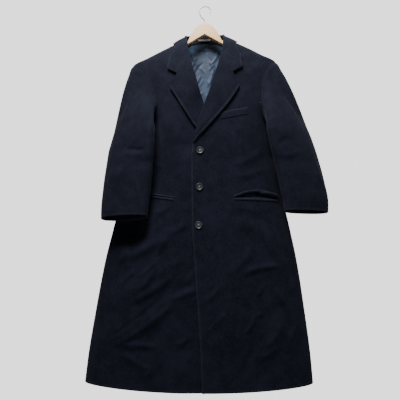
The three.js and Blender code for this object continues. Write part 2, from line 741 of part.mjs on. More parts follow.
// One sleeve as a grid of rings from the armhole to the cuff, and the way into its wall.
function sleeveGrid(side) {
  const sign = outward[side];
  const armhole = armholes[side];
  const firstZ = sleeveTables[side][0].z;
  const lastZ = sleeveTables[side][sleeveTables[side].length - 1].z;
  const ringPoint = (turn, z) => {
    const section = sectionAt(sleeves[side], z);
    const across = softPower(Math.cos(radians(turn)), roundness);
    const through = softPower(Math.sin(radians(turn)), roundness);
    const middleY = section.centreY + section.shear * across * section.halfWidth;
    const depth = through > 0 ? section.front : section.behind * (1 + section.fuller * across);
    const crease = sleeveFolds.reduce((height, fold) => {
      const around = (((turn - fold.turn + 540) % 360) - 180) / fold.turnWidth;
      const down = (z - fold.z) / fold.zWidth;
      return height + fold.height * Math.exp(-around * around - down * down);
    }, 0);
    const x = section.centreX + across * section.halfWidth;
    const y = middleY - through * (depth + crease);
    const tilt = cuffTilt[side] * (y - section.centreY) * smoothStep(cuffTiltFromZ, lastZ, z);
    return vector(x, y, z + tilt);
  };
  const capLine = (turn) => {
    const angle = armhole.angle(turn);
    const height = armhole.z(turn);
    const start = coatPoint(sign * angle, height);
    const normal = coatNormal(sign * angle, height);
    start.x *= sign;
    normal.x *= sign;
    const away = vector(armCentre.x, armCentre.y, armCentre.z).sub(start);
    away.addScaledVector(normal, -away.dot(normal)).normalize();
    const leave = radians(armhole.leave(turn));
    const turned = Math.max(leave, 0);
    const gap = armholeGap * (1 + Math.sin(turned / 2));
    start.addScaledVector(away, gap * Math.cos(turned / 2));
    start.addScaledVector(normal, gap * Math.sin(turned / 2));
    const inward = normal.clone().multiplyScalar(-Math.cos(turned)).addScaledVector(away, Math.sin(turned));
    const end = ringPoint(turn, firstZ);
    const pull = capPull * end.distanceTo(start);
    const leaving = away.clone().multiplyScalar(Math.cos(leave)).addScaledVector(normal, Math.sin(leave));
    leaving.multiplyScalar(pull);
    const below = ringPoint(turn, firstZ - 10);
    const arriving = below.sub(end).normalize().multiplyScalar(pull);
    return { start, end, leaving, arriving, inward };
  };
  const lines = armholeTurns.map(capLine);
  const capRings = sleeveCapSteps.map((t) =>
    lines.map((line) =>
      vector(0, 0, 0)
        .addScaledVector(line.start, (1 + 2 * t) * (1 - t) ** 2)
        .addScaledVector(line.leaving, t * (1 - t) ** 2)
        .addScaledVector(line.end, t ** 2 * (3 - 2 * t))
        .addScaledVector(line.arriving, t ** 2 * (t - 1)),
    ),
  );
  const ringAt = (row) => armholeTurns.map((turn) => ringPoint(turn, row.z));
  const lowerRings = sleeveTables[side].slice(1).map(ringAt);
  return { rings: [...capRings, ...lowerRings], firstInward: lines.map((line) => line.inward) };
}

// Wall of a closed sleeve: the first and last columns are the same line, so it wraps there.
function sleeveWalls(side) {
  const { rings, firstInward } = sleeveGrid(side);
  const columns = armholeTurns.length - 1;
  const wrap = (j) => (j + columns) % columns;
  const inward = rings.map((ring, i) =>
    ring.map((_, j) => {
      const down = rings[Math.min(i + 1, rings.length - 1)][j].clone().sub(rings[Math.max(i - 1, 0)][j]);
      const around = ring[wrap(j + 1)].clone().sub(ring[wrap(j - 1)]);
      const normal = down.cross(around).normalize();
      return i === 0 ? firstInward[j] : normal;
    }),
  );
  const middle = rings[rings.length - 1].reduce((sum, p) => sum.add(p), vector(0, 0, 0));
  middle.divideScalar(rings[rings.length - 1].length);
  const test = inward[rings.length - 1][0].dot(middle.clone().sub(rings[rings.length - 1][0]));
  const facing = test > 0 ? 1 : -1;
  inward.forEach((ring, i) => i > 0 && ring.forEach((normal) => normal.multiplyScalar(facing)));
  return { rings, inward };
}

// One half of a sleeve between two seams, both edges drawn back by half the seam's gap.
function sleeveHalf(side, firstTurn, lastTurn) {
  const { rings, inward } = sleeveWalls(side);
  const columns = armholeTurns.length - 1;
  const first = armholeTurns.indexOf(firstTurn);
  const last = armholeTurns.indexOf(lastTurn);
  const count = ((last - first + columns) % columns) + 1;
  const order = Array.from({ length: count }, (_, i) => (first + i) % columns);
  const sign = outward[side];
  const place = (point) => vector(point.x * sign, point.y, point.z);
  const face = rings.map((ring) => {
    const line = order.map((j) => ring[j].clone());
    const startWay = line[1].clone().sub(line[0]).normalize();
    const endWay = line[count - 2].clone().sub(line[count - 1]).normalize();
    line[0].addScaledVector(startWay, sleeveSeamHalfGap);
    line[count - 1].addScaledVector(endWay, sleeveSeamHalfGap);
    return line;
  });
  const inside = face.map((line, i) =>
    line.map((point, k) => point.clone().addScaledVector(inward[i][order[k]], woolThickness)),
  );
  return wallBetween(face.map((line) => line.map(place)), inside.map((line) => line.map(place)));
}

// A lapel: it leaves the front's inner edge, turns over along the roll line and lies on the chest.
function lapelGeometry(side) {
  const sign = outward[side];
  const isUnder = side === "right";
  const table = isUnder ? lapelRowsRight : lapelRowsLeft;
  const top = [];
  const below = [];
  for (const row of table) {
    const radius = rollRadiusAt(row.rollZ);
    const underRadius = radius - facedThickness;
    const lift = 2 * underRadius;
    const sideways = rollSideways(side, row.rollZ);
    const centreX = rolls[side](row.rollZ) + sign * radius * sideways.x;
    const centreZ = row.rollZ + sign * radius * sideways.z;
    const onRoll = (across, out) => {
      const x = centreX - sign * across * sideways.x;
      const z = centreZ - sign * across * sideways.z;
      return onFront(centreX, centreZ, out, isUnder).add(vector(x - centreX, 0, z - centreZ));
    };
    const topRow = [onRoll(-rollFlat, -facedThickness)];
    const belowRow = [onRoll(-rollFlat, 0)];
    for (let i = 0; i <= foldSteps; i += 1) {
      const turn = (Math.PI * i) / foldSteps;
      topRow.push(onRoll(radius * Math.sin(turn), underRadius - radius * Math.cos(turn)));
      belowRow.push(onRoll(underRadius * Math.sin(turn), underRadius - underRadius * Math.cos(turn)));
    }
    for (let i = 1; i <= leafSteps; i += 1) {
      const t = i / leafSteps;
      const x = mix(centreX, row.outerX, t);
      const z = mix(centreZ, row.outerZ, t);
      topRow.push(onFront(x, z, lift + facedThickness, isUnder));
      belowRow.push(onFront(x, z, lift, isUnder));
    }
    top.push(topRow);
    below.push(belowRow);
  }
  return wallBetween(top, below);
}

// The collar: a stand up from the neckline, a fold, and a leaf down to the outer edge.
function collarGeometry() {
  const station = collarAt;
  const neckPoint = (k) => coatPoint(station.seamAngle(k), necklineZ(station.seamAngle(k)));
  const lastIndex = collarStations.length - 1;
  const rimNormals = [];
  const halfRow = (k) => {
    const foldAt = (where) => vector(station.x(where), station.y(where), station.z(where));
    const fold = foldAt(k);
    const ahead = foldAt(k + nearby);
    const behind = foldAt(k - nearby);
    const forwards = k >= lastIndex ? vector(1, 0, 0) : behind.sub(ahead).normalize();
    const facing = vector(station.faceX(k), station.faceY(k), station.faceZ(k));
    facing.addScaledVector(forwards, -facing.dot(forwards)).normalize();
    const standWay = forwards.clone().cross(facing).normalize();
    const centre = fold.clone().addScaledVector(facing, -collarFoldRadius);
    const seamAngle = station.seamAngle(k);
    const seamZ = necklineZ(seamAngle);
    const rimNormal = coatNormal(seamAngle, seamZ);
    const seam = coatPoint(seamAngle, seamZ).addScaledVector(rimNormal, -facedThickness);
    const standTop = centre.clone().addScaledVector(standWay, collarFoldRadius);
    const seamWay = neckPoint(k + nearby).sub(neckPoint(k - nearby));
    seam.addScaledVector(rimNormal.clone().cross(seamWay).normalize(), necklineGap);
    rimNormals.push(rimNormal.negate());
    const row = [];
    for (let i = 0; i < standSteps; i += 1) {
      row.push(seam.clone().lerp(standTop, i / standSteps));
    }
    for (let i = 0; i <= foldSteps; i += 1) {
      const turn = (Math.PI * i) / foldSteps;
      row.push(
        centre.clone()
          .addScaledVector(standWay, collarFoldRadius * Math.cos(turn))
          .addScaledVector(facing, collarFoldRadius * Math.sin(turn)),
      );
    }
    const leafStart = row[row.length - 1];
    const edgeAngle = station.edgeAngle(k);
    const edgeZ = station.edgeZ(k);
    const edge = coatPoint(edgeAngle, edgeZ).addScaledVector(coatNormal(edgeAngle, edgeZ), station.lift(k));
    const straight = leafStart.clone().lerp(edge, leafBreak);
    const notchPoint = onFront(notch.x, notch.z, 2 * rollRadius - facedThickness);
    const middle = notchPoint.lerp(straight, smoothStep(0, notchReach, k));
    for (let i = 1; i <= leafSteps; i += 1) {
      const bend = leafSteps - 2;
      row.push(
        i <= bend ? leafStart.clone().lerp(middle, i / bend) : middle.clone().lerp(edge, (i - bend) / 2),
      );
    }
    return row;
  };
  const rows = [];
  const half = lastIndex * collarRowsPerStation;
  for (let i = 0; i <= half; i += 1) {
    rows.push(halfRow(i / collarRowsPerStation));
  }
  for (let i = half - 1; i >= 0; i -= 1) {
    rows.push(rows[i].map((point) => vector(-point.x, point.y, point.z)));
  }
  const normals = gridNormals(rows);
  const crown = normals[half][standSteps + Math.floor(foldSteps / 2)];
  if (crown.z < 0) {
    normals.forEach((line) => line.forEach((normal) => normal.negate()));
  }
  rimNormals.forEach((normal, i) => {
    normals[i][0] = normal;
    normals[2 * half - i][0] = vector(-normal.x, normal.y, normal.z);
  });
  return wallBetween(rows, movedAlong(rows, normals, -facedThickness));
}

// A flat piece laid on the front: four corners, in columns along it.
function patchGeometry(pointAt, columns, thickness, gap) {
  const face = [];
  const inside = [];
  for (let i = 0; i <= columns; i += 1) {
    const ends = [0, 1].map((t) => pointAt(i / columns, t));
    face.push(ends.map(({ x, z }) => onFront(x, z, gap + thickness)));
    inside.push(ends.map(({ x, z }) => onFront(x, z, gap)));
  }
  return wallBetween(face, inside);
}

function weltGeometry() {
  const pointAt = (along, down) => ({
    x: mix(welt.innerX, welt.outerX, along),
    z: mix(welt.innerTop, welt.outerTop, along) - welt.depth * down,
  });
  return patchGeometry(pointAt, 5, welt.thickness, layerGap);
}

function jetGeometry(lip) {
  const pointAt = (along, down) => ({
    x: mix(lip.innerX, lip.outerX, along),
    z: mix(lip.innerZ, lip.outerZ, along) + lip.bow * Math.sin(Math.PI * along) - jetWidth * (down - 0.5),
  });
  return patchGeometry(pointAt, jetColumns, jetThickness, jetGap);
}

function liningGeometry() {
  const topZ = curveThrough(liningTop, "angle", "z");
  const firstAngle = liningTop[0].angle;
  const face = [];
  const inside = [];
  for (let i = 0; i <= liningRows; i += 1) {
    const faceRow = [];
    const insideRow = [];
    for (let j = 0; j <= liningColumns; j += 1) {
      const share = (2 * j) / liningColumns - 1;
      const angle = 180 - Math.abs(share) * (180 - firstAngle);
      const z = mix(topZ(angle), liningBottomZ, i / liningRows);
      const signed = share < 0 ? -angle : angle;
      const normal = coatNormal(signed, z);
      const out = -woolThickness - mix(liningTopGap, liningSlack, smoothStep(0, 0.2, i / liningRows));
      faceRow.push(coatPoint(signed, z).addScaledVector(normal, out));
      insideRow.push(coatPoint(signed, z).addScaledVector(normal, out - satinThickness));
    }
    face.push(faceRow);
    inside.push(insideRow);
  }
  return wallBetween(face, inside);
}

function loopGeometry() {
  const geometry = new THREE.BoxGeometry(2 * loop.halfLength, loop.thickness, 2 * loop.halfHeight);
  geometry.translate(0, loop.backY - loop.thickness / 2, loop.centreZ);
  return geometry;
}

// Outline of the hanger: an arched crown, arms just under the shoulders, and a raised underside.
function boardOutline() {
  const right = [];
  for (let i = 1; i <= crownSteps; i += 1) {
    const share = i / crownSteps;
    right.push([crownHalfWidth * share, crownTopZ - crownHeight * share ** crownPower]);
  }
  for (const z of armHeights) {
    const ridge = coatPoint(90, z).addScaledVector(coatNormal(90, z), -woolThickness - armClearance);
    right.push([ridge.x, ridge.z]);
  }
  const tip = right[right.length - 1];
  const chevronZ = (x) => chevronApexZ - chevronSlope * x;
  right.push([armReach, tip[1] - armTip.down], [armReach, chevronZ(armReach) + armTip.up]);
  right.push([armReach - armTip.corner, chevronZ(armReach)]);
  right.push([chevronHalfFlat, chevronZ(chevronHalfFlat)]);
  const shape = new THREE.Shape();
  shape.moveTo(0, crownTopZ);
  right.forEach(([x, z]) => shape.lineTo(x, z));
  shape.lineTo(0, chevronApexZ);
  [...right].reverse().forEach(([x, z]) => shape.lineTo(-x, z));
  shape.closePath();
  return shape;
}

function boardGeometry() {
  const geometry = new THREE.ExtrudeGeometry(boardOutline(), {
    depth: boardThickness - 2 * boardBevel,
    bevelEnabled: true,
    bevelThickness: boardBevel,
    bevelSize: boardBevel,
    bevelOffset: -boardBevel,
    bevelSegments: 1,
    curveSegments: 1,
  });
  geometry.rotateX(Math.PI / 2);
  geometry.translate(0, boardThickness / 2 - boardBevel, 0);
  return geometry;
}

// The wire hook: up from the crown, out to one side and round over the origin.
function hookGeometry() {
  const centreZ = -(hookBendRadius - wireRadius);
  const points = hookRise.map(({ x, above }) => vector(x, 0, crownTopZ + above));
  points.push(vector(-hookTipX, 0, centreZ - hookTipDrop));
  for (let i = 0; i <= hookBendSteps; i += 1) {
    const turn = Math.PI * (1 - i / hookBendSteps);
    points.push(vector(hookBendRadius * Math.cos(turn), 0, centreZ + hookBendRadius * Math.sin(turn)));
  }
  points.push(vector(hookTipX, 0, centreZ - hookTipDrop));
  const outline = new THREE.Shape(ringOf(0, 0, wireRadius, 8));
  return new THREE.ExtrudeGeometry(outline, {
    steps: hookSteps,
    extrudePath: new THREE.CatmullRomCurve3(points),
  });
}

// Points evenly round a circle.
function ringOf(centreX, centreY, radius, sides) {
  return Array.from({ length: sides }, (_, i) => {
    const turn = (2 * Math.PI * i) / sides;
    return new THREE.Vector2(centreX + radius * Math.cos(turn), centreY + radius * Math.sin(turn));
  });
}

// A sewn-on button with four holes, its back just clear of the left front.
function buttonGeometry(height) {
  const outline = new THREE.Shape(ringOf(0, 0, buttonRadius, 24));
  for (const [across, up] of [[1, 1], [1, -1], [-1, 1], [-1, -1]]) {
    const hole = ringOf(across * buttonHoleOffset, up * buttonHoleOffset, buttonHoleRadius, 6);
    outline.holes.push(new THREE.Path(hole.reverse()));
  }
  const geometry = new THREE.ExtrudeGeometry(outline, {
    depth: buttonThickness - 2 * buttonBevel,
    bevelEnabled: true,
    bevelThickness: buttonBevel,
    bevelSize: buttonBevel,
    bevelOffset: -buttonBevel,
    bevelSegments: 1,
  });
  geometry.rotateX(Math.PI / 2);
  const surface = onFront(buttonX, height, 0);
  geometry.translate(buttonX, surface.y - layerGap - buttonBevel, height);
  return geometry;
}

// Everything hangs askew together, with the hook's bend staying at the origin.
function hungAskew(geometry) {
  const position = geometry.attributes.position;
  for (let i = 0; i < position.count; i += 1) {
    const [x, z] = [position.getX(i), position.getZ(i)];
    const middle = 1 - smoothStep(swayFrom, swayTo, Math.abs(x));
    position.setX(i, x + sway(z) * middle);
    position.setZ(i, z + askew(z) * x);
  }
  geometry.computeVertexNormals();
  return geometry;
}

const coat = new THREE.Group();

function addPiece(name, surface, geometry) {
  const material = new THREE.MeshStandardMaterial(surfaces[surface]);
  const mesh = new THREE.Mesh(hungAskew(geometry), material);
  mesh.name = name;
  coat.add(mesh);
}

for (const side of ["right", "left"]) {
  addPiece(`front_${side}`, "wool", panel(frontRows(side), panelColumns, side === "right"));
  addPiece(`back_${side}`, "wool", panel(backRows(side), backColumns, false));
  addPiece(`sleeve_${side}_top`, "wool", sleeveHalf(side, backSleeveSeamTurn, frontSleeveSeamTurn));
  addPiece(`sleeve_${side}_under`, "wool", sleeveHalf(side, frontSleeveSeamTurn, backSleeveSeamTurn));
  addPiece(`lapel_${side}`, "wool", lapelGeometry(side));
}
addPiece("collar", "wool", collarGeometry());
addPiece("breast_welt", "wool", weltGeometry());
for (const lip of pocketLips) {
  addPiece(lip.name, "wool", jetGeometry(lip));
}
addPiece("back_lining", "satin", liningGeometry());
addPiece("hanger_loop", "tape", loopGeometry());
buttonHeights.forEach((height, i) => addPiece(`button_${i + 1}`, "horn", buttonGeometry(height)));
addPiece("hanger_body", "wood", boardGeometry());
addPiece("hanger_hook", "steel", hookGeometry());

export default coat;
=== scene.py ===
# %% [markdown]
# # A long wool overcoat on a wooden hanger
# The coat is single-breasted, dark navy and almost flat, because it hangs close to a wall. This lesson
# dresses the plain solids of the coat: each cloth panel becomes a fine, soft surface with its own wall,
# folds and rounded edges, and then gets its wool, satin, horn or wood.

# %% Load the solids
from types import SimpleNamespace
import bmesh
import bpy
import numpy as np
from mathutils import Matrix


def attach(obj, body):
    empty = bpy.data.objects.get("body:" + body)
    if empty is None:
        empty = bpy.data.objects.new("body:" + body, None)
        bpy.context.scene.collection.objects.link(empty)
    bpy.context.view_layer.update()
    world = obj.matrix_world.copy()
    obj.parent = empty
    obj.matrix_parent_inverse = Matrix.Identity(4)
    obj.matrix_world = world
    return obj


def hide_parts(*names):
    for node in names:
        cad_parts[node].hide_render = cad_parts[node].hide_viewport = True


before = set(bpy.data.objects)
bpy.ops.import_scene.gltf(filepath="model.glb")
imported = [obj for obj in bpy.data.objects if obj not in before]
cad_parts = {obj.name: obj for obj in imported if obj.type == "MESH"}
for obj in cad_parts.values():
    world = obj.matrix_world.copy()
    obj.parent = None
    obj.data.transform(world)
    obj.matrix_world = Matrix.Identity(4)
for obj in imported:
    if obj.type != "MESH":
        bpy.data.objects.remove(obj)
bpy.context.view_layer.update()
print("solids:", len(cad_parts))

# %% [markdown]
# The photograph was taken from a little below the middle of the coat, looking slightly up. The camera
# therefore gets a measured place and three measured directions. They could be turned by hand until the
# picture fits, but writing them down keeps the view the same in every run.


# %% Camera
def placed(right, up, back, place):
    """Matrix of an object with its three directions and its place as columns."""
    return Matrix([[right[i], up[i], back[i], place[i]] for i in range(3)] + [[0, 0, 0, 1]])


lens = bpy.data.cameras.new("view_of_coat")
lens.sensor_width = 36
lens.lens = 34.94
camera = bpy.data.objects.new("view_of_coat", lens)
bpy.context.scene.collection.objects.link(camera)
view_right = (0.99977569, 0.01203896, 0.01742479)
view_up = (-0.01511418, -0.17077933, 0.98519337)
view_back = (0.0148365, -0.98523575, -0.17055906)
view_place = (0.013278, -1.26211, -0.92586)
camera.matrix_world = placed(view_right, view_up, view_back, view_place)
bpy.context.scene.camera = camera
print("camera at", view_place, "m")

# %% [markdown]
# Every shape below starts from a short table, such as the width of the coat at a few heights. A smooth
# curve through such a table could be a Bezier curve drawn by hand. Here it is a formula instead, so that
# the same curve can be read at thousands of places at once.


# %% Curves through tables
def curve_through(at, value):
    """Smooth curve through points. Between two points it is a cubic whose slope at each point is the
    harmonic mean of the rises on both sides, or level where they disagree, so it never overshoots."""
    order = np.argsort(at)
    at, value = np.asarray(at, float)[order], np.asarray(value, float)[order]
    rise = np.diff(value) / np.diff(at)
    before, after = np.concatenate([rise[:1], rise]), np.concatenate([rise, rise[-1:]])
    agree = before * after > 0
    slope = np.where(agree, 2 * before * after / np.where(agree, before + after, 1), 0)

    def curve(where):
        where = np.clip(where, at[0], at[-1])
        i = np.clip(np.searchsorted(at, where, side="right") - 1, 0, len(at) - 2)
        span = at[i + 1] - at[i]
        t = (where - at[i]) / span
        start = value[i] * (1 + 2 * t) * (1 - t) ** 2 + slope[i] * span * t * (1 - t) ** 2
        end = value[i + 1] * t**2 * (3 - 2 * t) + slope[i + 1] * span * t**2 * (t - 1)
        return start + end

    return curve


def curves_of(names, *rows):
    """One curve for each column of a table, read along its first column."""
    columns = np.array(rows, float).T
    names = names.split()
    return SimpleNamespace(**{
        name: curve_through(columns[0], column) for name, column in zip(names[1:], columns[1:])
    })


def mix(a, b, t):
    """Straight mix: a at t = 0, b at t = 1."""
    return a + (b - a) * t


def ease(start, end, value):
    """0 before start, 1 after end, with a soft S between."""
    t = np.clip((value - start) / (end - start), 0, 1)
    return t * t * (3 - 2 * t)


def soft_power(value, power):
    """Power of the size of a number, keeping its sign: it rounds a circle towards a box."""
    return np.sign(value) * np.abs(value) ** power


def bell(distance, width):
    """1 at distance 0, and e to the power of minus (distance / width) squared away from it."""
    return np.exp(-((distance / width) ** 2))


def arch(share):
    """Half a wave of a sine: 0 at both ends of a stretch and 1 in its middle."""
    return np.sin(np.pi * share)


print("ease half way:", float(ease(0, 1, 0.5)))

# %% [markdown]
# The body of the coat is one closed tube, squashed flat by hanging. At each height it has a half width
# and three depths: of the front, the side and the back. An angle goes round it, from 0 at the centre
# front over 90 at the side to 180 at the centre back. A sculpted mesh would look as good, but with this
# formula any seam, pocket or lapel can be laid on the cloth exactly.

# %% Tables of the body, in millimetres
MM = 0.001
WOOL = 2.5
FACED = 2.8
HEM_Z = -1290
LAST_ROLL_Z = -526
BOXY = 0.8
STITCH_LINE = 9
body = curves_of(
    "z half_width front_y side_y back_y",
    (-118, 60, -14, 0, 41), (-128, 76, -20, 0, 42), (-136, 87, -24, 0, 42.5), (-145, 98, -28, 0, 43),
    (-161, 128, -34, 0, 44), (-178, 160, -38, 0, 45), (-204, 206, -43, 0, 46), (-226, 247, -46, 0, 46),
    (-260, 262, -50, 4, 46), (-330, 264, -52, 12, 46), (-467, 248, -52, 22, 46), (-560, 242, -50, 22, 46),
    (-620, 258, -49, 21, 46), (-700, 269, -51, 18, 46), (-800, 290, -54, 13, 46), (-920, 311, -55, 11, 46),
    (-1050, 328, -54, 10, 46), (-1210, 344, -51, 8, 46), (-1290, 349, -49, 8, 46),
)
askew = curves_of("z slope", (-230, 0.045), (-330, 0.035), (-600, 0.022), (-1290, 0.014)).slope
sway = curves_of("z shift", (-520, 0), (-400, 3.5), (-170, 3.5), (-110, 0)).shift
roll_top = [(-150, 61), (-179, 59), (-209, 53.5), (-253, 43), (-292, 30.5), (-340, 17.5), (-382, 3.5)]
roll = {
    "left": curves_of("z x", *roll_top, (-419, -9), (-456, -19), (-500, -28), (-530, -33)).x,
    "right": curves_of("z x", *[(z, -x) for z, x in roll_top], (-420, 8.5), (-460, 20), (-530, 34)).x,
}
edge = {
    "left": curves_of(
        "z x", (-540, -32), (-560, -34), (-656, -32), (-717, -30), (-812, -27), (-895, -19), (-975, -12),
        (-1080, -3), (-1181, 6), (-1288, 12),
    ).x,
    "right": curves_of("z x", (-540, 30), (-700, 34), (-900, 40), (-1288, 56)).x,
}
pressed_from = {
    "left": curves_of("z x", (-395, 194), (-489, 209), (-595, 233), (-699, 251), (-900, 275)).x,
    "right": curves_of("z x", (-395, 153), (-600, 156), (-764, 167), (-900, 185)).x,
}
OUT = {"left": 1, "right": -1}
print("half width at the hem", float(body.half_width(HEM_Z)), "mm")

# %% [markdown]
# Heavy wool falls in long, soft folds. Each is one line of a table: where it starts and ends on the
# cloth, how wide and how high it is, and how far its middle bends aside. The long slanting ones on the
# skirt pull from the side towards the closed front. Cloth simulation could make folds too, but it would
# not put them where this coat has them.

# %% Folds: x0, z0, x1, z1, half width, height, bend
front_folds = [
    (-310, -1165, -10, -1000, 26, 6, 0), (-300, -1045, -60, -905, 24, 5, 0),
    (-170, -1250, -60, -1090, 24, 4, 0), (-250, -890, -215, -800, 17, 5, 0),
    (-255, -900, -60, -830, 20, 4, 0), (330, -960, 190, -1050, 20, 4, 0),
    (300, -1020, 160, -1240, 26, 5, 0), (110, -1220, 80, -860, 28, 4, 0),
    (-120, -640, -105, -400, 18, 4, 0), (130, -650, 105, -480, 20, 3, 0),
]
front_creases = [
    (-227, -892, -105, -821, 15, 6.1, 6), (-106, -822, -44, -790, 12, 4.7, 4),
    (-106, -835, -149, -928, 9, 4.9, 5), (-125, -906, -186, -998, 7, 4.3, -5),
    (-188, -953, -126, -897, 7, 3.8, 4), (-205, -1028, -85, -954, 11, 6.2, 5),
    (-46, -977, -17, -932, 8, 3.8, 3), (-88, -1025, -12, -997, 10, 5.9, -4),
    (-258, -1166, -83, -1037, 8, 5.9, 6), (-270, -1140, -110, -1010, 8, -3.5, 6),
    (-230, -1161, -125, -1162, 9, 5.4, -3), (-235, -1184, -138, -1227, 8, 4.6, 4),
    (-66, -1155, -22, -1126, 9, 4.1, 3), (-83, -1069, -87, -1133, 10, 4.1, 4),
    (-26, -1183, -40, -1239, 9, 3.8, 3), (-255, -914, -230, -859, 8, 4.9, 4),
    (-245, -984, -204, -938, 8, 4.1, -4), (-160, -1250, -110, -1200, 9, 3.2, 5),
    (137, -944, 244, -921, 9, 5.4, -5), (122, -784, 236, -875, 20, 5.9, -10),
    (173, -1012, 198, -973, 7, 4.1, 3), (136, -1123, 167, -1070, 7, 4.6, 4),
    (167, -1070, 192, -1066, 7, 3.8, 0), (16, -1029, 61, -984, 8, 3.8, 4),
    (234, -990, 257, -1040, 7, 4.1, -3), (246, -1010, 272, -1062, 7, 3.8, 3),
    (181, -1193, 231, -1164, 10, 4.9, 4), (201, -1164, 247, -1098, 10, 5.1, 5),
    (32, -1116, 76, -1066, 8, 3.8, -4), (95, -1010, 70, -1180, 14, 3.5, 6),
    (300, -1100, 262, -1180, 9, 3.8, 5), (120, -1230, 150, -1160, 9, 3.2, -4),
    (165, -860, 95, -940, 11, 3.0, -7), (109, -600, 193, -549, 14, 3.2, 6),
    (120, -640, 200, -610, 10, 2.4, 5), (-60, -700, -50, -560, 9, 1.8, 3),
    (-130, -540, -112, -430, 9, 2.2, 4), (-150, -470, -128, -330, 10, -2.4, 5),
    (-175, -560, -130, -610, 8, 2.4, 6), (60, -690, 48, -570, 10, 1.4, -3),
    (150, -450, 168, -540, 9, 2.2, 5), (160, -330, 120, -380, 14, 1.6, 5),
    (-180, -250, -130, -300, 14, 1.8, 6), (190, -250, 140, -290, 14, 1.6, -5),
    (-150, -760, -100, -735, 9, 3.2, 4), (110, -740, 190, -760, 12, 3.2, -5),
]
back_folds = [
    (-300, -1230, -90, -760, 30, 5, 0), (-120, -1240, -60, -700, 26, 4, 0),
    (90, -1250, 60, -780, 28, 4, 0), (290, -1210, 120, -820, 30, 5, 0),
    (-150, -640, -120, -330, 24, 4, 0), (150, -620, 125, -340, 24, 4, 0),
]
back_creases = [
    (-310, -1120, -180, -1010, 10, 3.8, 9), (-260, -960, -160, -880, 9, -3.2, 6),
    (-60, -1180, -40, -960, 12, 3.2, 6), (70, -1100, 120, -940, 11, 2.9, -7),
    (300, -1090, 190, -980, 10, 3.8, 8), (250, -930, 150, -860, 9, 3.2, -6),
    (-190, -700, -110, -640, 9, 2.9, 5), (180, -690, 110, -630, 9, 2.9, -5),
    (-120, -520, -60, -470, 11, 2.4, 5), (110, -500, 50, -440, 11, 2.4, 4),
    (-90, -260, 90, -250, 16, 2.9, -10), (-200, -380, -140, -330, 9, 2.6, 5),
    (200, -370, 150, -320, 9, 2.6, -5),
]


def fold_height(folds, x, z):
    """Sum of soft ridges: each is a bell across its bent line and fades out at both ends."""
    height = np.zeros_like(x)
    for x0, z0, x1, z1, width, high, bend in folds:
        run_x, run_z = x1 - x0, z1 - z0
        length = np.hypot(run_x, run_z)
        along = ((x - x0) * run_x + (z - z0) * run_z) / length**2
        aside = ((x - x0) * run_z - (z - z0) * run_x) / length - bend * 4 * along * (1 - along)
        fade = ease(-0.15, 0.25, along) * ease(-0.15, 0.25, 1 - along)
        height = height + high * fade * bell(aside, width)
    return height


print("folds and creases on the front:", len(front_folds) + len(front_creases))

# %% [markdown]
# Pressing and sewing leave finer marks: a dart on each chest, a crease where the hem is turned up, and on
# the left hip a pocket that gapes, with its mouth sunk into the cloth. They are small dents in the same
# surface, so that light falls into them as it does into real seams.

# %% Darts, hem and pocket mouths
DART_WIDTH = 1.6
HEM_TURN_UP = 48
darts = [(-121, -655, -119, -470), (113, -640, 117, -480)]
pocket_mouths = [
    {"x": (106, 244), "inner_z": -708, "outer_z": -706, "bow": 9, "half": 7.5, "depth": 9},
    {"x": (-84, -200), "inner_z": -711, "outer_z": -693, "bow": 0, "half": 1.6, "depth": 2.5},
]


def tailoring_depth(x, z, is_under=False):
    """Depth of the sewn marks: a narrow groove along each dart, a dent along the hem's inner edge and
    beside the front edge, and an eye-shaped hollow in each pocket's mouth."""
    depth = np.zeros_like(x)
    for x0, z0, x1, z1 in darts:
        along = (z - z0) / (z1 - z0)
        across = x - mix(x0, x1, along)
        groove = 1.5 * bell(across, DART_WIDTH) + 1.6 * bell(across, 7 * DART_WIDTH)
        depth += groove * ease(0, 0.2, along) * ease(0, 0.2, 1 - along)
    depth += 0.5 * bell(z - HEM_Z - HEM_TURN_UP, 2.5)
    if not is_under:
        from_edge = x - edge["left"](z)
        rim = ease(STITCH_LINE, 2, from_edge) * ease(-9, -3, from_edge)
        depth += (0.8 * bell(from_edge - STITCH_LINE, 2.2) - 2.6 * rim) * (1 - ease(-560, -545, z))
    for mouth in pocket_mouths:
        first_x, last_x = mouth["x"]
        along = (x - first_x) / (last_x - first_x)
        gape = arch(np.clip(along, 0, 1))
        middle = mix(mouth["inner_z"], mouth["outer_z"], along) + mouth["bow"] * gape
        open_by = gape**0.6
        across = (z - middle) / (mouth["half"] * np.maximum(open_by, 0.05))
        depth += mouth["depth"] * open_by * np.exp(-(across**4))
    return depth


print("darts", len(darts), "pocket mouths", len(pocket_mouths))

# %% [markdown]
# The surface of the coat is a function: it takes an angle and a height and gives a place. It adds the
# folds and the sewn marks to the tube, and presses the cloth in beside the sleeves and under the other
# front. From it follow the way straight out of the cloth and the place that has a given x on the front.
# A lattice or a displacement map could bend a mesh into the same shape, but couldn't be asked for a place.


# %% The surface of the coat
LAP_DEPTH_EDGE, LAP_DEPTH_LAPEL = 3.8, 11.4
LAP_WIDTH = 70
PRESSED_TO_Y = 13
HEM_RISE, HEM_RISE_X = 18, 340


def lap_under(x, z):
    """How far the right front is pressed in where the left front and its lapel lie over it."""
    cover = np.where(z > -540, roll["left"](z), edge["left"](z))
    depth = mix(LAP_DEPTH_EDGE, LAP_DEPTH_LAPEL, ease(-590, -530, z)) * (1 - ease(-385, -310, z))
    return depth * ease(cover - LAP_WIDTH, cover - 8, x)


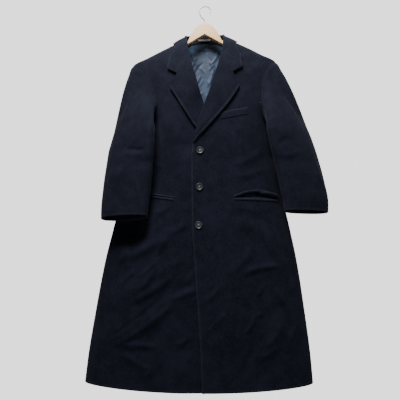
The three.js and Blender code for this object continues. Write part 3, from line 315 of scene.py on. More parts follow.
def coat_point(angle, z, is_under=False, fine=0.0):
    """Place on the cloth. Across, it is the half width times a softened sine of the angle. In depth it
    goes from the side to the front or back with a softened cosine, plus folds, and is pressed back
    beside the sleeves. With fine at 1 it has the small creases and the sewn marks too."""
    angle, z = np.broadcast_arrays(np.asarray(angle, float), np.asarray(z, float))
    turn = np.radians(angle)
    x = body.half_width(z) * soft_power(np.sin(turn), BOXY)
    depth = soft_power(np.cos(turn), BOXY)
    side = body.side_y(z)
    front_y = mix(side, body.front_y(z), depth)
    flat = ease(0, 0.35, depth)
    front_y = front_y - flat * (fold_height(front_folds, x, z) + fine * fold_height(front_creases, x, z))
    start = np.where(x > 0, pressed_from["left"](z), pressed_from["right"](z))
    pressed = ease(-395, -455, z) * (1 - ease(-780, -900, z)) * ease(start - 22, start + 62, np.abs(x))
    front_y = front_y + pressed * np.maximum(0, PRESSED_TO_Y - front_y)
    if is_under:
        front_y = front_y + lap_under(x, z)
    if fine:
        front_y = front_y + fine * flat * (1 - pressed) * tailoring_depth(x, z, is_under)
    back_y = mix(side, body.back_y(z), -depth)
    flat = ease(0, 0.5, -depth)
    back_y = back_y + flat * (fold_height(back_folds, x, z) + fine * fold_height(back_creases, x, z))
    back_y = back_y - fine * flat * 1.1 * bell(x, 3)
    rise = HEM_RISE * (x / HEM_RISE_X) ** 2 * ease(-1000, HEM_Z, z)
    return np.stack([x, np.where(depth > 0, front_y, back_y), z + rise], -1)


def unit(vectors):
    """Vectors of length one."""
    return vectors / np.maximum(np.linalg.norm(vectors, axis=-1, keepdims=True), 1e-9)


def coat_normal(angle, z, is_under=False, fine=0.0):
    """The way straight out of the cloth: the cross product of a step round and a step up."""
    around = coat_point(angle + 0.6, z, is_under, fine) - coat_point(angle - 0.6, z, is_under, fine)
    up = coat_point(angle, z + 0.6, is_under, fine) - coat_point(angle, z - 0.6, is_under, fine)
    return unit(np.cross(around, up))


def front_angle(x, z):
    """The angle at which the front of the coat has a given x: the inverse of the softened sine."""
    share = np.clip(np.abs(x) / body.half_width(z), 0, 1)
    return np.sign(x) * np.degrees(np.arcsin(share ** (1 / BOXY)))


def on_front(x, z, out, is_under=False, fine=0.0):
    """A place on the front, moved straight out of the cloth by a distance."""
    x, z = np.broadcast_arrays(np.asarray(x, float), np.asarray(z, float))
    angle = front_angle(x, z)
    out = np.asarray(out, float)[..., None] if np.ndim(out) else out
    return coat_point(angle, z, is_under, fine) + out * coat_normal(angle, z, is_under, fine)


print("chest at z -400:", coat_point(30.0, -400.0).round(1))

# %% [markdown]
# A cut panel of cloth has two faces and a rim. The rim of thick wool is not a sharp step but a soft
# roll, so each panel is built from its outer face, its inner face and a rounded band between the two.
# The Solidify modifier could make the wall, but not the roll. The whole coat also hangs slightly askew
# on the hook, which is one last shift of all points.


# %% Cloth walls
WORN_LIT_EDGE_WIDTH, FAR_FROM_WORN_LIT_EDGE = 4, 99.0
RIM_BULGE = 0.8


def hung_askew(points):
    """Moves the middle of the coat a little towards +X and lifts that side by a share of x."""
    x, y, z = np.moveaxis(points, -1, 0)
    middle = 1 - ease(130, 230, np.abs(x))
    return np.stack([x + sway(z) * middle, y, z + askew(z) * x], -1)


def rim_loop(rows, columns):
    """Numbers of the points round the edge of a grid, in order."""
    index = np.arange(rows * columns).reshape(rows, columns)
    return np.concatenate([index[0, :-1], index[:-1, -1], index[-1, :0:-1], index[:0:-1, 0]])


def edge_wear_and_highlight(grid, sides):
    """1 along the named edges of a grid, fading out as a bell over 4 mm. There the wool is lightened, partly
    as real wear and partly as a painted highlight. The distance to an edge is the sum of the steps from it."""
    across = np.cumsum(np.linalg.norm(np.diff(grid, axis=1, prepend=grid[:, :1]), axis=-1), axis=1)
    down = np.cumsum(np.linalg.norm(np.diff(grid, axis=0, prepend=grid[:1]), axis=-1), axis=0)
    ways = {"first": across, "last": across[:, -1:] - across, "top": down, "bottom": down[-1:] - down}
    distance = np.minimum.reduce([np.full(across.shape, FAR_FROM_WORN_LIT_EDGE), *(ways[side] for side in sides.split())])
    return bell(distance, WORN_LIT_EDGE_WIDTH)


def wall_mesh(name, face, inside, roll_steps=3, worn_and_lit=""):
    """A closed wall of cloth: two grids of points, joined round their edge by a half-round band. Each ring of
    the band is the middle of the wall plus a cosine of half its thickness, pushed outwards by a sine of half
    its thickness. A float attribute on the points is 1 along the named edges, where the wool is lightened,
    partly as real wear and partly as a painted highlight."""
    rows, columns = face.shape[:2]
    count = rows * columns
    loop = rim_loop(rows, columns)
    outer, inner = face.reshape(-1, 3)[loop], inside.reshape(-1, 3)[loop]
    ahead, behind = np.roll(outer, -1, 0), np.roll(outer, 1, 0)
    through = outer - inner
    away = unit(np.cross(ahead - behind, through))
    centre = outer.mean(0)
    if ((outer - centre) * away).sum() < 0:
        away = -away
    rings = []
    for step in range(1, roll_steps + 1):
        turn = np.pi * step / (roll_steps + 1)
        middle = (outer + inner) / 2
        half = np.linalg.norm(through, axis=1, keepdims=True) / 2
        rings.append(middle + through / 2 * np.cos(turn) + away * half * RIM_BULGE * np.sin(turn))
    points = hung_askew(np.concatenate([face.reshape(-1, 3), inside.reshape(-1, 3), *rings])) * MM
    index = np.arange(count).reshape(rows, columns)
    quads = np.stack([index[:-1, :-1], index[:-1, 1:], index[1:, 1:], index[1:, :-1]], -1).reshape(-1, 4)
    faces = [quads, quads[:, ::-1] + count]
    round_rim = [2 * count + i * len(loop) + np.arange(len(loop)) for i in range(roll_steps)]
    bands = [loop, *round_rim, loop + count]
    for first, second in zip(bands, bands[1:]):
        faces.append(np.stack([np.roll(first, -1), first, second, np.roll(second, -1)], -1))
    faces = np.concatenate(faces)
    corner = points[faces]
    crossed = np.cross(corner[:, 1] - corner[:, 0], corner[:, 2] - corner[:, 0])
    if ((corner[:, 0] + corner[:, 2]) * crossed).sum() < 0:
        faces = faces[:, ::-1]
    piece = mesh_piece(name, points, faces)
    wear_and_highlight = edge_wear_and_highlight(face, worn_and_lit).ravel()
    wear_and_highlight = np.concatenate([wear_and_highlight, wear_and_highlight, *[wear_and_highlight[loop]] * roll_steps])
    piece.data.attributes.new("worn_and_lit", "FLOAT", "POINT").data.foreach_set("value", wear_and_highlight.astype(np.float32))
    return piece


def mesh_piece(name, points, faces):
    """Puts arrays of points and four-cornered faces into a new smooth object at the origin."""
    mesh = bpy.data.meshes.new(name)
    mesh.vertices.add(len(points))
    mesh.vertices.foreach_set("co", np.ascontiguousarray(points, np.float32).ravel())
    mesh.loops.add(faces.size)
    mesh.loops.foreach_set("vertex_index", np.ascontiguousarray(faces, np.int32).ravel())
    mesh.polygons.add(len(faces))
    mesh.polygons.foreach_set("loop_start", np.arange(0, faces.size, faces.shape[1], dtype=np.int32))
    mesh.polygons.foreach_set("use_smooth", np.ones(len(faces), bool))
    mesh.update(calc_edges=True)
    mesh.validate()
    piece = bpy.data.objects.new(name, mesh)
    bpy.context.scene.collection.objects.link(piece)
    return piece


print("wall of the wool", WOOL, "mm, of faced cloth", FACED, "mm")

# %% [markdown]
# Each panel was once a flat cut of cloth. Its area is the sum of the grid's cells. The mesh could be unfolded
# for this, but cloth hardly stretches, so lengths along it are lengths on the flat cut too.


def grid_normals(grid):
    """Normals of a grid of points: the cross product of its steps down and across."""
    return unit(np.cross(np.gradient(grid, axis=0), np.gradient(grid, axis=1)))


def grid_area(grid):
    """Area of a grid of points: half the cross product of each cell's two diagonals, in m2."""
    first, second = grid[1:, 1:] - grid[:-1, :-1], grid[1:, :-1] - grid[:-1, 1:]
    return float(np.linalg.norm(np.cross(first, second), axis=-1).sum() / 2 * MM * MM)


def hang_cloth(piece, grid, node):
    """Hides the solid that a panel stands for and lets the panel move with the coat. The area of the cut is
    worked out but not kept.
    """
    area = round(grid_area(grid), 4)
    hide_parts(node)
    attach(piece, "root")
    return piece


# %% [markdown]
# The seams are lines on the coat. An armhole is a loop of heights and angles, read by a turn: from 0 at the
# shoulder down in front to 285 at the side seam, and up behind to 360. The neckline and the collar are
# rows of places from the front to the middle of the back. Curves drawn by hand would do, but from these
# tables a sleeve and a panel share exactly the same seam.

# %% Seams of the body
ARMHOLE_TURNS = np.array([
    0, 12, 25, 38, 50, 65, 80, 95, 110, 127, 145, 162, 178, 194, 210, 230, 250, 267, 285, 296, 305, 319, 332,
    345, 353, 360,
], float)
TURNS_IN_FRONT, TURNS_BEHIND = ARMHOLE_TURNS[:19], ARMHOLE_TURNS[:17:-1]
SIDE_SEAM_TURN, SIDE_SEAM_ANGLE, SHOULDER_SEAM_ANGLE = 285, 100.0, 90.0
SHOULDER_STATION, SHOULDER_SHARE = 4.5, 4.75
CHEST_Z, BACK_ARMHOLE_Z = -216, -218
armhole = {
    "left": curves_of(
        "turn z angle leave", (0, -226, 90, 4), (25, -243, 61, 0), (50, -272, 49, 8), (80, -308, 43, 15),
        (110, -346, 42, 30), (145, -386, 43, 55), (178, -422, 46, 85), (210, -449, 53, 120),
        (250, -463, 70, 138), (285, -468, 100, 138), (305, -450, 124, 90), (332, -400, 134, 45),
        (345, -340, 134, 20), (353, -280, 126, 6), (360, -226, 90, 4),
    ),
    "right": curves_of(
        "turn z angle leave", (0, -226, 90, -9), (25, -243, 58, -6), (50, -272, 44.5, 5),
        (80, -308, 37.5, 15), (110, -346, 33, 30), (145, -386, 31.5, 55), (178, -422, 34, 85),
        (210, -449, 43, 120), (250, -463, 64, 120), (285, -468, 100, 112), (305, -450, 124, 80),
        (332, -400, 134, 45), (345, -340, 134, 20), (353, -280, 126, 6), (360, -226, 90, -9),
    ),
}
neckline_z = curves_of(
    "angle z", (13.3, -207), (16.1, -190), (21.9, -170), (32.5, -152), (49, -141), (68, -137), (90, -135),
    (118, -131), (148, -126), (180, -122),
).z
collar_at = curves_of(
    "station seam x y z face_x face_y face_z edge_angle edge_z lift",
    (0, 13.3, 54.5, -45, -203.5, -0.97, 0, 0.25, 23.3, -264, 7.2),
    (1, 16.1, 58.5, -42, -183, -0.95, -0.15, 0.3, 23.1, -240, 7.1),
    (2, 21.9, 61, -37.5, -163, -0.85, -0.3, 0.42, 27, -208, 6.8),
    (3, 32.5, 63, -29, -144, -0.6, -0.4, 0.7, 36, -178, 6.2),
    (4, 49, 66, -14, -124, -0.3, -0.3, 0.9, 54, -160, 5.6),
    (5, 90, 67, 5, -108, 0, 0, 1, 90, -151, 5),
    (6, 118, 63, 22, -99, 0, 0, 1, 122, -157, 5),
    (7, 148, 44, 37, -90, 0, 0, 1, 150, -160, 5),
    (8, 180, 0, 44, -86, 0, 0, 1, 180, -162, 5),
)
SEAM = 0.2
print("armhole from z", float(armhole["left"].z(0)), "to", float(armhole["left"].z(SIDE_SEAM_TURN)))

# %% [markdown]
# A front is cut in one piece from the shoulder to the hem. Its inner edge runs down the neckline, beside
# the roll of the lapel and down the front edge. Its outer edge runs along the shoulder, round the armhole
# and down the side seam. Rows of points join the two edges, so the cloth follows both of them. The back
# is made the same way, from the centre seam to the same outer edge.


# %% Panels of the body
def angle_for(distance, angle, z):
    """The angle that moves a point on the coat by a given distance."""
    step = coat_point(angle + 0.5, z) - coat_point(angle - 0.5, z)
    return distance / np.linalg.norm(step, axis=-1)


def roll_radius(z):
    """Outer radius of the lapel's roll, which tightens towards the top button."""
    return mix(5, 3.2, ease(-480, LAST_ROLL_Z, z))


def roll_sideways(side, z):
    """The way from the roll line onto the chest, level with the cloth."""
    lean = roll[side](z + 1) - roll[side](z - 1)
    return 2 / np.hypot(lean, 2), -lean / np.hypot(lean, 2)


def front_rows(side, shoulder_rows=26, armhole_rows=124, skirt_rows=220):
    """Both ends of each row of a front: angle and height on its inner edge, then on its outer edge."""
    hole = armhole[side]
    station = np.linspace(SHOULDER_STATION, 0, shoulder_rows)
    neck = collar_at.seam(station)
    down_shoulder = mix(
        neckline_z(SHOULDER_SEAM_ANGLE) - SEAM, hole.z(0), (SHOULDER_STATION - station) / SHOULDER_SHARE
    )
    shoulder = OUT[side] * neck, neckline_z(neck), np.full(shoulder_rows, SHOULDER_SEAM_ANGLE), down_shoulder
    share = np.linspace(0, 1, armhole_rows)
    turn = np.interp(share, np.linspace(0, 1, len(TURNS_IN_FRONT)), TURNS_IN_FRONT)
    z = mix(CHEST_Z, LAST_ROLL_Z, share)
    reach = roll_radius(z) + 2 + 2 * SEAM
    across, down = roll_sideways(side, z)
    x, z = roll[side](z) + OUT[side] * reach * across, z + reach * down * OUT[side]
    chest = front_angle(x, z), z, hole.angle(turn), hole.z(turn)
    share = np.linspace(0, 1, skirt_rows + 1)[1:]
    z = mix(LAST_ROLL_Z, HEM_Z, share)
    side_seam = mix(hole.z(SIDE_SEAM_TURN), HEM_Z, share)
    skirt = front_angle(edge[side](z), z), z, np.full(skirt_rows, SIDE_SEAM_ANGLE), side_seam
    return [np.concatenate(part) for part in zip(shoulder, chest, skirt)]


def back_rows(side, shoulder_rows=16, armhole_rows=50, skirt_rows=140):
    """Both ends of each row of a back, from the centre seam to the shoulder, armhole or side seam."""
    hole = armhole[side]
    share = np.linspace(0, 1, shoulder_rows + 1)[:-1]
    down_shoulder = mix(neckline_z(SHOULDER_SEAM_ANGLE) - SEAM, hole.z(0), share)
    top = mix(neckline_z(180.0) - SEAM, BACK_ARMHOLE_Z, share)
    shoulder = top, np.full(shoulder_rows, SHOULDER_SEAM_ANGLE), down_shoulder
    share = np.linspace(0, 1, armhole_rows)
    turn = np.interp(share, np.linspace(0, 1, len(TURNS_BEHIND)), TURNS_BEHIND)
    blade = mix(BACK_ARMHOLE_Z, LAST_ROLL_Z, share), hole.angle(turn), hole.z(turn)
    share = np.linspace(0, 1, skirt_rows + 1)[1:]
    side_seam = mix(hole.z(SIDE_SEAM_TURN), HEM_Z, share)
    skirt = mix(LAST_ROLL_Z, HEM_Z, share), np.full(skirt_rows, SIDE_SEAM_ANGLE), side_seam
    heights, angles, outer = (np.concatenate(part) for part in zip(shoulder, blade, skirt))
    return OUT[side] * (180 - angle_for(SEAM, 180.0, heights)), heights, angles, outer


def panel(name, side, rows, columns, gap_sign, is_under=False, worn_and_lit="bottom"):
    """A panel of the body: each row mixes angle and height between its two ends, in steps that a sine
    makes finer near both."""
    inner_angle, inner_z, outer_angle, outer_z = rows
    gap = angle_for(SEAM, OUT[side] * outer_angle, outer_z)
    outer_angle = OUT[side] * (outer_angle + gap_sign * gap)
    t = np.linspace(0, 1, columns)
    t = t - 0.07 * np.sin(2 * np.pi * t)
    angle = mix(inner_angle[:, None], outer_angle[:, None], t)
    z = mix(inner_z[:, None], outer_z[:, None], t)
    face = coat_point(angle, z, is_under, fine=1.0)
    inside = face - WOOL * coat_normal(angle, z, is_under, fine=1.0)
    return hang_cloth(wall_mesh(name, face, inside, worn_and_lit=worn_and_lit), face, name.removeprefix("cloth_"))


wool_pieces = []
for side in ("right", "left"):
    is_under = side == "right"
    front = panel(f"cloth_front_{side}", side, front_rows(side), 120, -1, is_under, "first bottom")
    back = panel(f"cloth_back_{side}", side, back_rows(side), 84, 1)
    wool_pieces += [front, back]

# %% [markdown]
# Below the upper arm a sleeve is a stack of flattened rings, and a row of its table gives the centre, the
# half width and both depths of one. A ring has turns like a clock: 0 away from the body, 90 in front, 180
# beside the body and 270 behind. Short creases lie where the elbow bends. They are rows of a table too,
# from one turn and height to another, so that they wrap round the arm.

# %% Rings and creases of the sleeves
sleeve = {
    "left": curves_of(
        "z centre_x half_width centre_y front behind shear fuller",
        (-500, 284.5, 77.5, -37, 37, 29, 0.45, 0.35), (-560, 299, 79.5, -38, 36, 30, 0.4, 0.3),
        (-620, 312.5, 77.5, -40, 35, 32, 0.3, 0.3), (-690, 325, 77, -45, 33, 32, 0.22, 0.15),
        (-730, 330, 73, -49, 31, 31, 0.18, 0.05), (-755, 329, 71, -52, 28, 29, 0.15, 0),
    ),
    "right": curves_of(
        "z centre_x half_width centre_y front behind shear fuller",
        (-500, 229, 76, -38.5, 36, 25, 0.45, 0.2), (-560, 234, 81, -38, 36, 29, 0.4, 0.3),
        (-620, 237, 80.5, -41, 35, 32, 0.3, 0.3), (-690, 240, 80, -47, 33, 32, 0.22, 0.15),
        (-735, 242, 78, -52, 31, 31, 0.18, 0.05), (-772, 242, 75, -56, 28, 29, 0.15, 0),
    ),
}
SLEEVE_TOP_Z = -500
CUFF_Z = {"left": -755, "right": -772}
CUFF_TILT = {"left": -0.09, "right": -0.2}
sleeve_folds = [(150, -600, 40, 16, -4), (60, -640, 45, 22, 3), (330, -590, 40, 20, -4)]
MM_PER_DEGREE = 1.5
sleeve_creases = {
    "right": [
        (86, -549, 121, -560, 6, -2.6, 3), (80, -566, 116, -578, 8, 1.8, 3),
        (38, -300, 58, -470, 13, 1.8, 6), (118, -410, 92, -545, 10, 2.2, -6),
        (142, -430, 120, -590, 9, -2, 5), (60, -600, 48, -735, 11, 1.6, 4),
        (104, -640, 122, -745, 9, 1.6, -4), (14, -500, 6, -690, 13, 1.8, 5),
        (70, -690, 96, -748, 9, -1.4, 3), (30, -420, 44, -560, 12, 1.5, -6),
        (250, -520, 228, -640, 10, 2, 4), (296, -500, 280, -600, 9, 1.8, 4),
        (322, -575, 352, -596, 8, -2.4, 3), (312, -618, 348, -628, 8, 2, -3),
        (206, -640, 220, -740, 9, 1.6, -3), (335, -660, 320, -740, 9, 1.6, 3),
    ],
    "left": [
        (100, -520, 130, -545, 8, -2, 3), (84, -560, 118, -585, 9, 2, 4), (30, -290, 52, -450, 13, 1.8, -6),
        (120, -400, 96, -520, 10, 2.4, 6), (144, -440, 124, -570, 9, -2, -5),
        (52, -560, 40, -700, 11, 1.8, 5), (92, -610, 108, -720, 9, 1.6, 4),
        (12, -470, 4, -660, 13, 1.8, -5), (66, -650, 84, -725, 9, 1.4, 3),
        (34, -380, 56, -520, 11, -1.5, 5), (248, -500, 226, -620, 10, 2, -4),
        (298, -500, 284, -590, 9, 1.8, 4), (318, -560, 350, -584, 8, -2.4, -3),
        (310, -606, 346, -612, 8, 2, 3), (204, -620, 218, -716, 9, 1.6, 3),
        (336, -640, 322, -720, 9, 1.6, 3),
    ],
}
ARM_CENTRE = np.array([225.0, 0, -345])
FOREARM_Z, FOREARM_Y = -700, -45
SLEEVE_SEAM = 0.5
print("creases on each sleeve:", {side: len(rows) for side, rows in sleeve_creases.items()})

# %% [markdown]
# A sleeve starts at the armhole, turns out of the body there and hangs down in front of the side. Each
# line down the sleeve is a smooth curve from the armhole to the upper arm, and then follows the rings to
# the cuff. The sleeve is sewn from a top and an under half, so it is cut along two of these lines. The
# cap has small puckers from easing it in. A tube joined to the body would be one mesh without a seam.


# %% Sleeves
def sleeve_ring(side, turn, z):
    """A point of the hanging sleeve: a flattened circle round its centre, further back at the outer edge,
    fuller behind, with soft creases, and tilted towards the cuff."""
    row = sleeve[side]
    across = soft_power(np.cos(np.radians(turn)), BOXY)
    through = soft_power(np.sin(np.radians(turn)), BOXY)
    width = row.half_width(z)
    depth = np.where(through > 0, row.front(z), row.behind(z) * (1 + row.fuller(z) * across))
    for at_turn, at_z, turn_width, z_width, height in sleeve_folds:
        around = (turn - at_turn + 540) % 360 - 180
        depth = depth + height * bell(around, turn_width) * bell(z - at_z, z_width)
    y = row.centre_y(z) + row.shear(z) * across * width - through * depth
    tilt = CUFF_TILT[side] * (y - row.centre_y(z)) * ease(-600, CUFF_Z[side], z)
    return np.stack([row.centre_x(z) + across * width, y, z + tilt], -1)


def sleeve_cloth(side, first_turn, last_turn, columns, cap_rows=56, arm_rows=84):
    """Grid of a sleeve half, and the way into its wall. A line of the cap is a cubic: it leaves the
    armhole in one direction and arrives at the first ring in another."""
    turn = np.linspace(first_turn, last_turn, columns)
    circle = turn % 360
    hole = armhole[side]
    sign = OUT[side]
    flip = np.array([sign, 1, 1])
    start = coat_point(sign * hole.angle(circle), hole.z(circle)) * flip
    normal = coat_normal(sign * hole.angle(circle), hole.z(circle)) * flip
    away = ARM_CENTRE - start
    away = unit(away - normal * (away * normal).sum(-1, keepdims=True))
    leave = np.radians(hole.leave(circle))[:, None]
    turned = np.maximum(leave, 0)
    gap = 1.2 * (1 + np.sin(turned / 2))
    start = start + away * gap * np.cos(turned / 2) + normal * gap * np.sin(turned / 2)
    first_inward = -normal * np.cos(turned) + away * np.sin(turned)
    end = sleeve_ring(side, circle, SLEEVE_TOP_Z)
    pull = 0.8 * np.linalg.norm(end - start, axis=-1, keepdims=True)
    leaving = (away * np.cos(leave) + normal * np.sin(leave)) * pull
    arriving = unit(sleeve_ring(side, circle, SLEEVE_TOP_Z - 10) - end) * pull
    t = np.linspace(0, 1, cap_rows)[:, None, None]
    cap = (
        start * (1 + 2 * t) * (1 - t) ** 2 + leaving * t * (1 - t) ** 2
        + end * t**2 * (3 - 2 * t) + arriving * t**2 * (t - 1)
    )
    heights = np.linspace(SLEEVE_TOP_Z, CUFF_Z[side], arm_rows + 1)[1:, None]
    grid = np.concatenate([cap, sleeve_ring(side, circle[None, :], heights)])
    normals = grid_normals(grid)
    centre_way = np.array([sleeve[side].centre_x(FOREARM_Z), FOREARM_Y, FOREARM_Z]) - grid[-20]
    if (normals[-20] * centre_way).sum() < 0:
        normals = -normals
    near = ease(0, 0.22, t)
    normals[:cap_rows] = unit(mix(first_inward[None], normals[:cap_rows], near))
    down = np.linalg.norm(grid - grid[:1], axis=-1)
    z = grid[..., 2]
    creases = [
        (first * MM_PER_DEGREE, first_z, last * MM_PER_DEGREE, last_z, *shape)
        for first, first_z, last, last_z, *shape in sleeve_creases[side]
    ]
    height = sum(
        fold_height(creases, (turn[None, :] + shift) * MM_PER_DEGREE + 0 * z, z) for shift in (-360, 0, 360)
    )
    upper = np.cos(np.radians(circle - 10)).clip(0, 1)
    height = height + 1.8 * upper * bell(down - 13, 12)
    height = height + 0.5 * upper * bell(down, 18) * np.sin(np.radians(circle) * 28)
    grid = grid - normals * height[..., None] * ease(0, 8, down)[..., None]
    grid[:, 0] += SLEEVE_SEAM * unit(grid[:, 1] - grid[:, 0])
    grid[:, -1] += SLEEVE_SEAM * unit(grid[:, -2] - grid[:, -1])
    return grid * flip, (grid + normals * WOOL) * flip


for side in ("right", "left"):
    for half, first, last, columns in (("top", -55, 162, 84), ("under", 162, 305, 56)):
        face, inside = sleeve_cloth(side, first, last, columns)
        wall = wall_mesh(f"cloth_sleeve_{side}_{half}", face, inside, worn_and_lit="bottom")
        wool_pieces.append(hang_cloth(wall, face, f"sleeve_{side}_{half}"))

# %% [markdown]
# A lapel is the top of the front, faced with a second layer and turned back over the chest. It leaves the
# front's inner edge, goes round a soft roll and lies on the chest. It could be modelled flat and bent with
# a modifier. As a set of paths across the cloth, each ends exactly on the outline in the table.

# %% Lapels
lapel_rows = {
    "left": curves_of(
        "row roll_z outer_x outer_z", (0, -206, 114.5, -331), (1, -238, 108, -345), (2, -270, 99, -361),
        (3, -305, 87, -380), (4, -340, 73, -399), (5, -375, 57, -420), (6, -410, 39, -442),
        (7, -445, 20, -465), (8, -478, 2, -487), (9, -506, -13, -504), (10, -524, -24, -520),
    ),
    "right": curves_of(
        "row roll_z outer_x outer_z", (0, -206, -114.5, -331), (1, -238, -107, -345), (2, -270, -98, -359),
        (3, -305, -87, -377), (4, -340, -74, -400), (5, -375, -59, -424), (6, -410, -41, -450),
        (7, -445, -18, -477), (8, -478, 5, -499), (9, -506, 20, -514),
    ),
}
LAST_ROW = {"left": 10, "right": 9}


def edge_swell(from_edge, width):
    """A turned edge: it swells at the rim and dips along the line of stitches."""
    return 0.9 * ease(STITCH_LINE, 2, from_edge) - 0.7 * bell(from_edge - STITCH_LINE, width)


def lapel_cloth(side, rows=118, fold_steps=13, leaf_steps=46):
    """Two faces of a lapel. Each row goes round half a circle at the roll line and then straight to the
    outer edge, with a slight belly between."""
    sign, is_under = OUT[side], side == "right"
    table = lapel_rows[side]
    row = np.linspace(0, LAST_ROW[side], rows)[:, None]
    roll_z = table.roll_z(row)
    radius = roll_radius(roll_z)
    under = radius - FACED
    across, down = roll_sideways(side, roll_z)
    centre_x = roll[side](roll_z) + sign * radius * across
    centre_z = roll_z + sign * radius * down
    turn = np.linspace(0, np.pi, fold_steps)[None, :]
    aside = np.concatenate([np.full_like(roll_z, -2), radius * np.sin(turn)], 1)
    aside_below = np.concatenate([np.full_like(roll_z, -2), under * np.sin(turn)], 1)
    out = np.concatenate([np.full_like(roll_z, -FACED), under - radius * np.cos(turn)], 1)
    out_below = np.concatenate([np.zeros_like(roll_z), under - under * np.cos(turn)], 1)
    normal = coat_normal(front_angle(centre_x, centre_z), centre_z, is_under)
    centre = coat_point(front_angle(centre_x, centre_z), centre_z, is_under)
    level = np.stack([-sign * across, 0 * across, -sign * down], -1)

    def round_roll(aside, out):
        return centre + normal * out[..., None] + level * aside[..., None]

    t = np.linspace(0, 1, leaf_steps + 1)[None, 1:]
    x, z = mix(centre_x, table.outer_x(row), t), mix(centre_z, table.outer_z(row), t)
    belly = 1.6 * arch(t) * ease(0, 3, row) + 0.9 * np.sin(row * 1.7 + 4 * t) * t * (1 - t) * 2
    from_edge = (1 - t) * np.hypot(table.outer_x(row) - centre_x, table.outer_z(row) - centre_z)
    belly = belly + edge_swell(from_edge, 2.5)
    lift = 2 * under
    face = np.concatenate([round_roll(aside, out), on_front(x, z, lift + FACED + belly, is_under)], 1)
    below = np.concatenate([round_roll(aside_below, out_below), on_front(x, z, lift + belly, is_under)], 1)
    return face, below


for side in ("right", "left"):
    face, below = lapel_cloth(side)
    wall = wall_mesh(f"cloth_lapel_{side}", face, below, worn_and_lit="last")
    wool_pieces.append(hang_cloth(wall, face, f"lapel_{side}"))

# %% [markdown]
# The collar is a stand up from the neckline, a fold, and a leaf that comes down to the shoulders. One half
# is made and then mirrored. It goes round its fold as a lapel goes round its roll, has the same swollen
# edge, and its leaf ends at the notch, a little above the lapel. Draped cloth would find its own way
# down, but would not stop at that notch.


# %% Collar
NOTCH = (94, -282)
FOLD_RADIUS = 4.4
LEAF_WIDTH = 68
BACK_STATION = 8


def collar_cloth(per_station=12, stand_steps=7, fold_steps=13, leaf_steps=30):
    """Two faces of the collar. Each row rises from the neckline, goes round half a circle at the fold and
    comes down in two straight stretches, which meet at the notch in front."""
    k = np.linspace(0, BACK_STATION, BACK_STATION * per_station + 1)
    at = collar_at

    def fold(where):
        return np.stack([at.x(where), at.y(where), at.z(where)], -1)

    def neck(where):
        return coat_point(at.seam(where), neckline_z(at.seam(where)))

    forwards = unit(fold(k - 0.05) - fold(k + 0.05))
    forwards[-1] = (1, 0, 0)
    facing = np.stack([at.face_x(k), at.face_y(k), at.face_z(k)], -1)
    facing = unit(facing - forwards * (facing * forwards).sum(-1, keepdims=True))
    stand_way = unit(np.cross(forwards, facing))
    centre = fold(k) - facing * FOLD_RADIUS
    seam_angle, seam_z = at.seam(k), neckline_z(at.seam(k))
    rim_normal = coat_normal(seam_angle, seam_z)
    seam_way = unit(np.cross(rim_normal, neck(k + 0.05) - neck(k - 0.05)))
    seam = coat_point(seam_angle, seam_z) - rim_normal * FACED + seam_way * 0.5
    stand_top = centre + stand_way * FOLD_RADIUS
    t = np.linspace(0, 1, stand_steps + 1)[None, :-1, None]
    stand = mix(seam[:, None], stand_top[:, None], t)
    turn = np.linspace(0, np.pi, fold_steps)[None, :, None]
    round_fold = stand_way[:, None] * np.cos(turn) + facing[:, None] * np.sin(turn)
    bend = centre[:, None] + FOLD_RADIUS * round_fold
    leaf_start = bend[:, -1]
    edge_angle, edge_z = at.edge_angle(k), at.edge_z(k)
    outer = coat_point(edge_angle, edge_z) + coat_normal(edge_angle, edge_z) * at.lift(k)[:, None]
    notch = on_front(*NOTCH, 7.2)
    middle = mix(notch, mix(leaf_start, outer, 0.7), ease(0, 2, k)[:, None])
    t = np.linspace(0, 1, leaf_steps + 1)[None, 1:, None]
    leaf = np.where(
        t < 0.6, mix(leaf_start[:, None], middle[:, None], t / 0.6),
        mix(middle[:, None], outer[:, None], (t - 0.6) / 0.4),
    )
    half = np.concatenate([stand, bend, leaf], 1)
    rows = np.concatenate([half, half[-2::-1] * (-1, 1, 1)])
    normals = grid_normals(rows)
    if normals[len(k) - 1, stand_steps + fold_steps // 2, 2] < 0:
        normals = -normals
    rims = np.concatenate([-rim_normal, -rim_normal[-2::-1] * (-1, 1, 1)])[:, None]
    share = np.clip(np.arange(stand_steps) / 4, 0, 1)[None, :, None]
    normals[:, :stand_steps] = unit(mix(rims, normals[:, :stand_steps], share))
    t = np.linspace(0, 1, rows.shape[0])[:, None]
    leaf_share = np.clip((np.arange(rows.shape[1]) - stand_steps - fold_steps) / leaf_steps, 0, 1)[None, :]
    belly = 1.2 * arch(leaf_share) * (1 + 0.4 * np.sin(t * 37))
    belly = belly + edge_swell((1 - leaf_share) * LEAF_WIDTH, 2.8)
    rows = rows + normals * belly[..., None]
    return rows, rows - normals * FACED


face, below = collar_cloth()
wall = wall_mesh("cloth_collar", face, below, worn_and_lit="last")
wool_pieces.append(hang_cloth(wall, face, "collar"))

# %% [markdown]
# The breast pocket is a welt: a strip of doubled cloth standing up from its seam. Each hip pocket has two
# thin lips of folded cloth, one above and one below the slit. On the left hip the upper lip arches up and
# two bits of the inner cloth stand in the mouth. All are strips that lie on the cloth of the front, so one
# function makes them from a row of a table. They could be cut from the panels, but as pieces of their own
# they are easier to move.


# %% Pockets
STRIP_GAP = 0.3


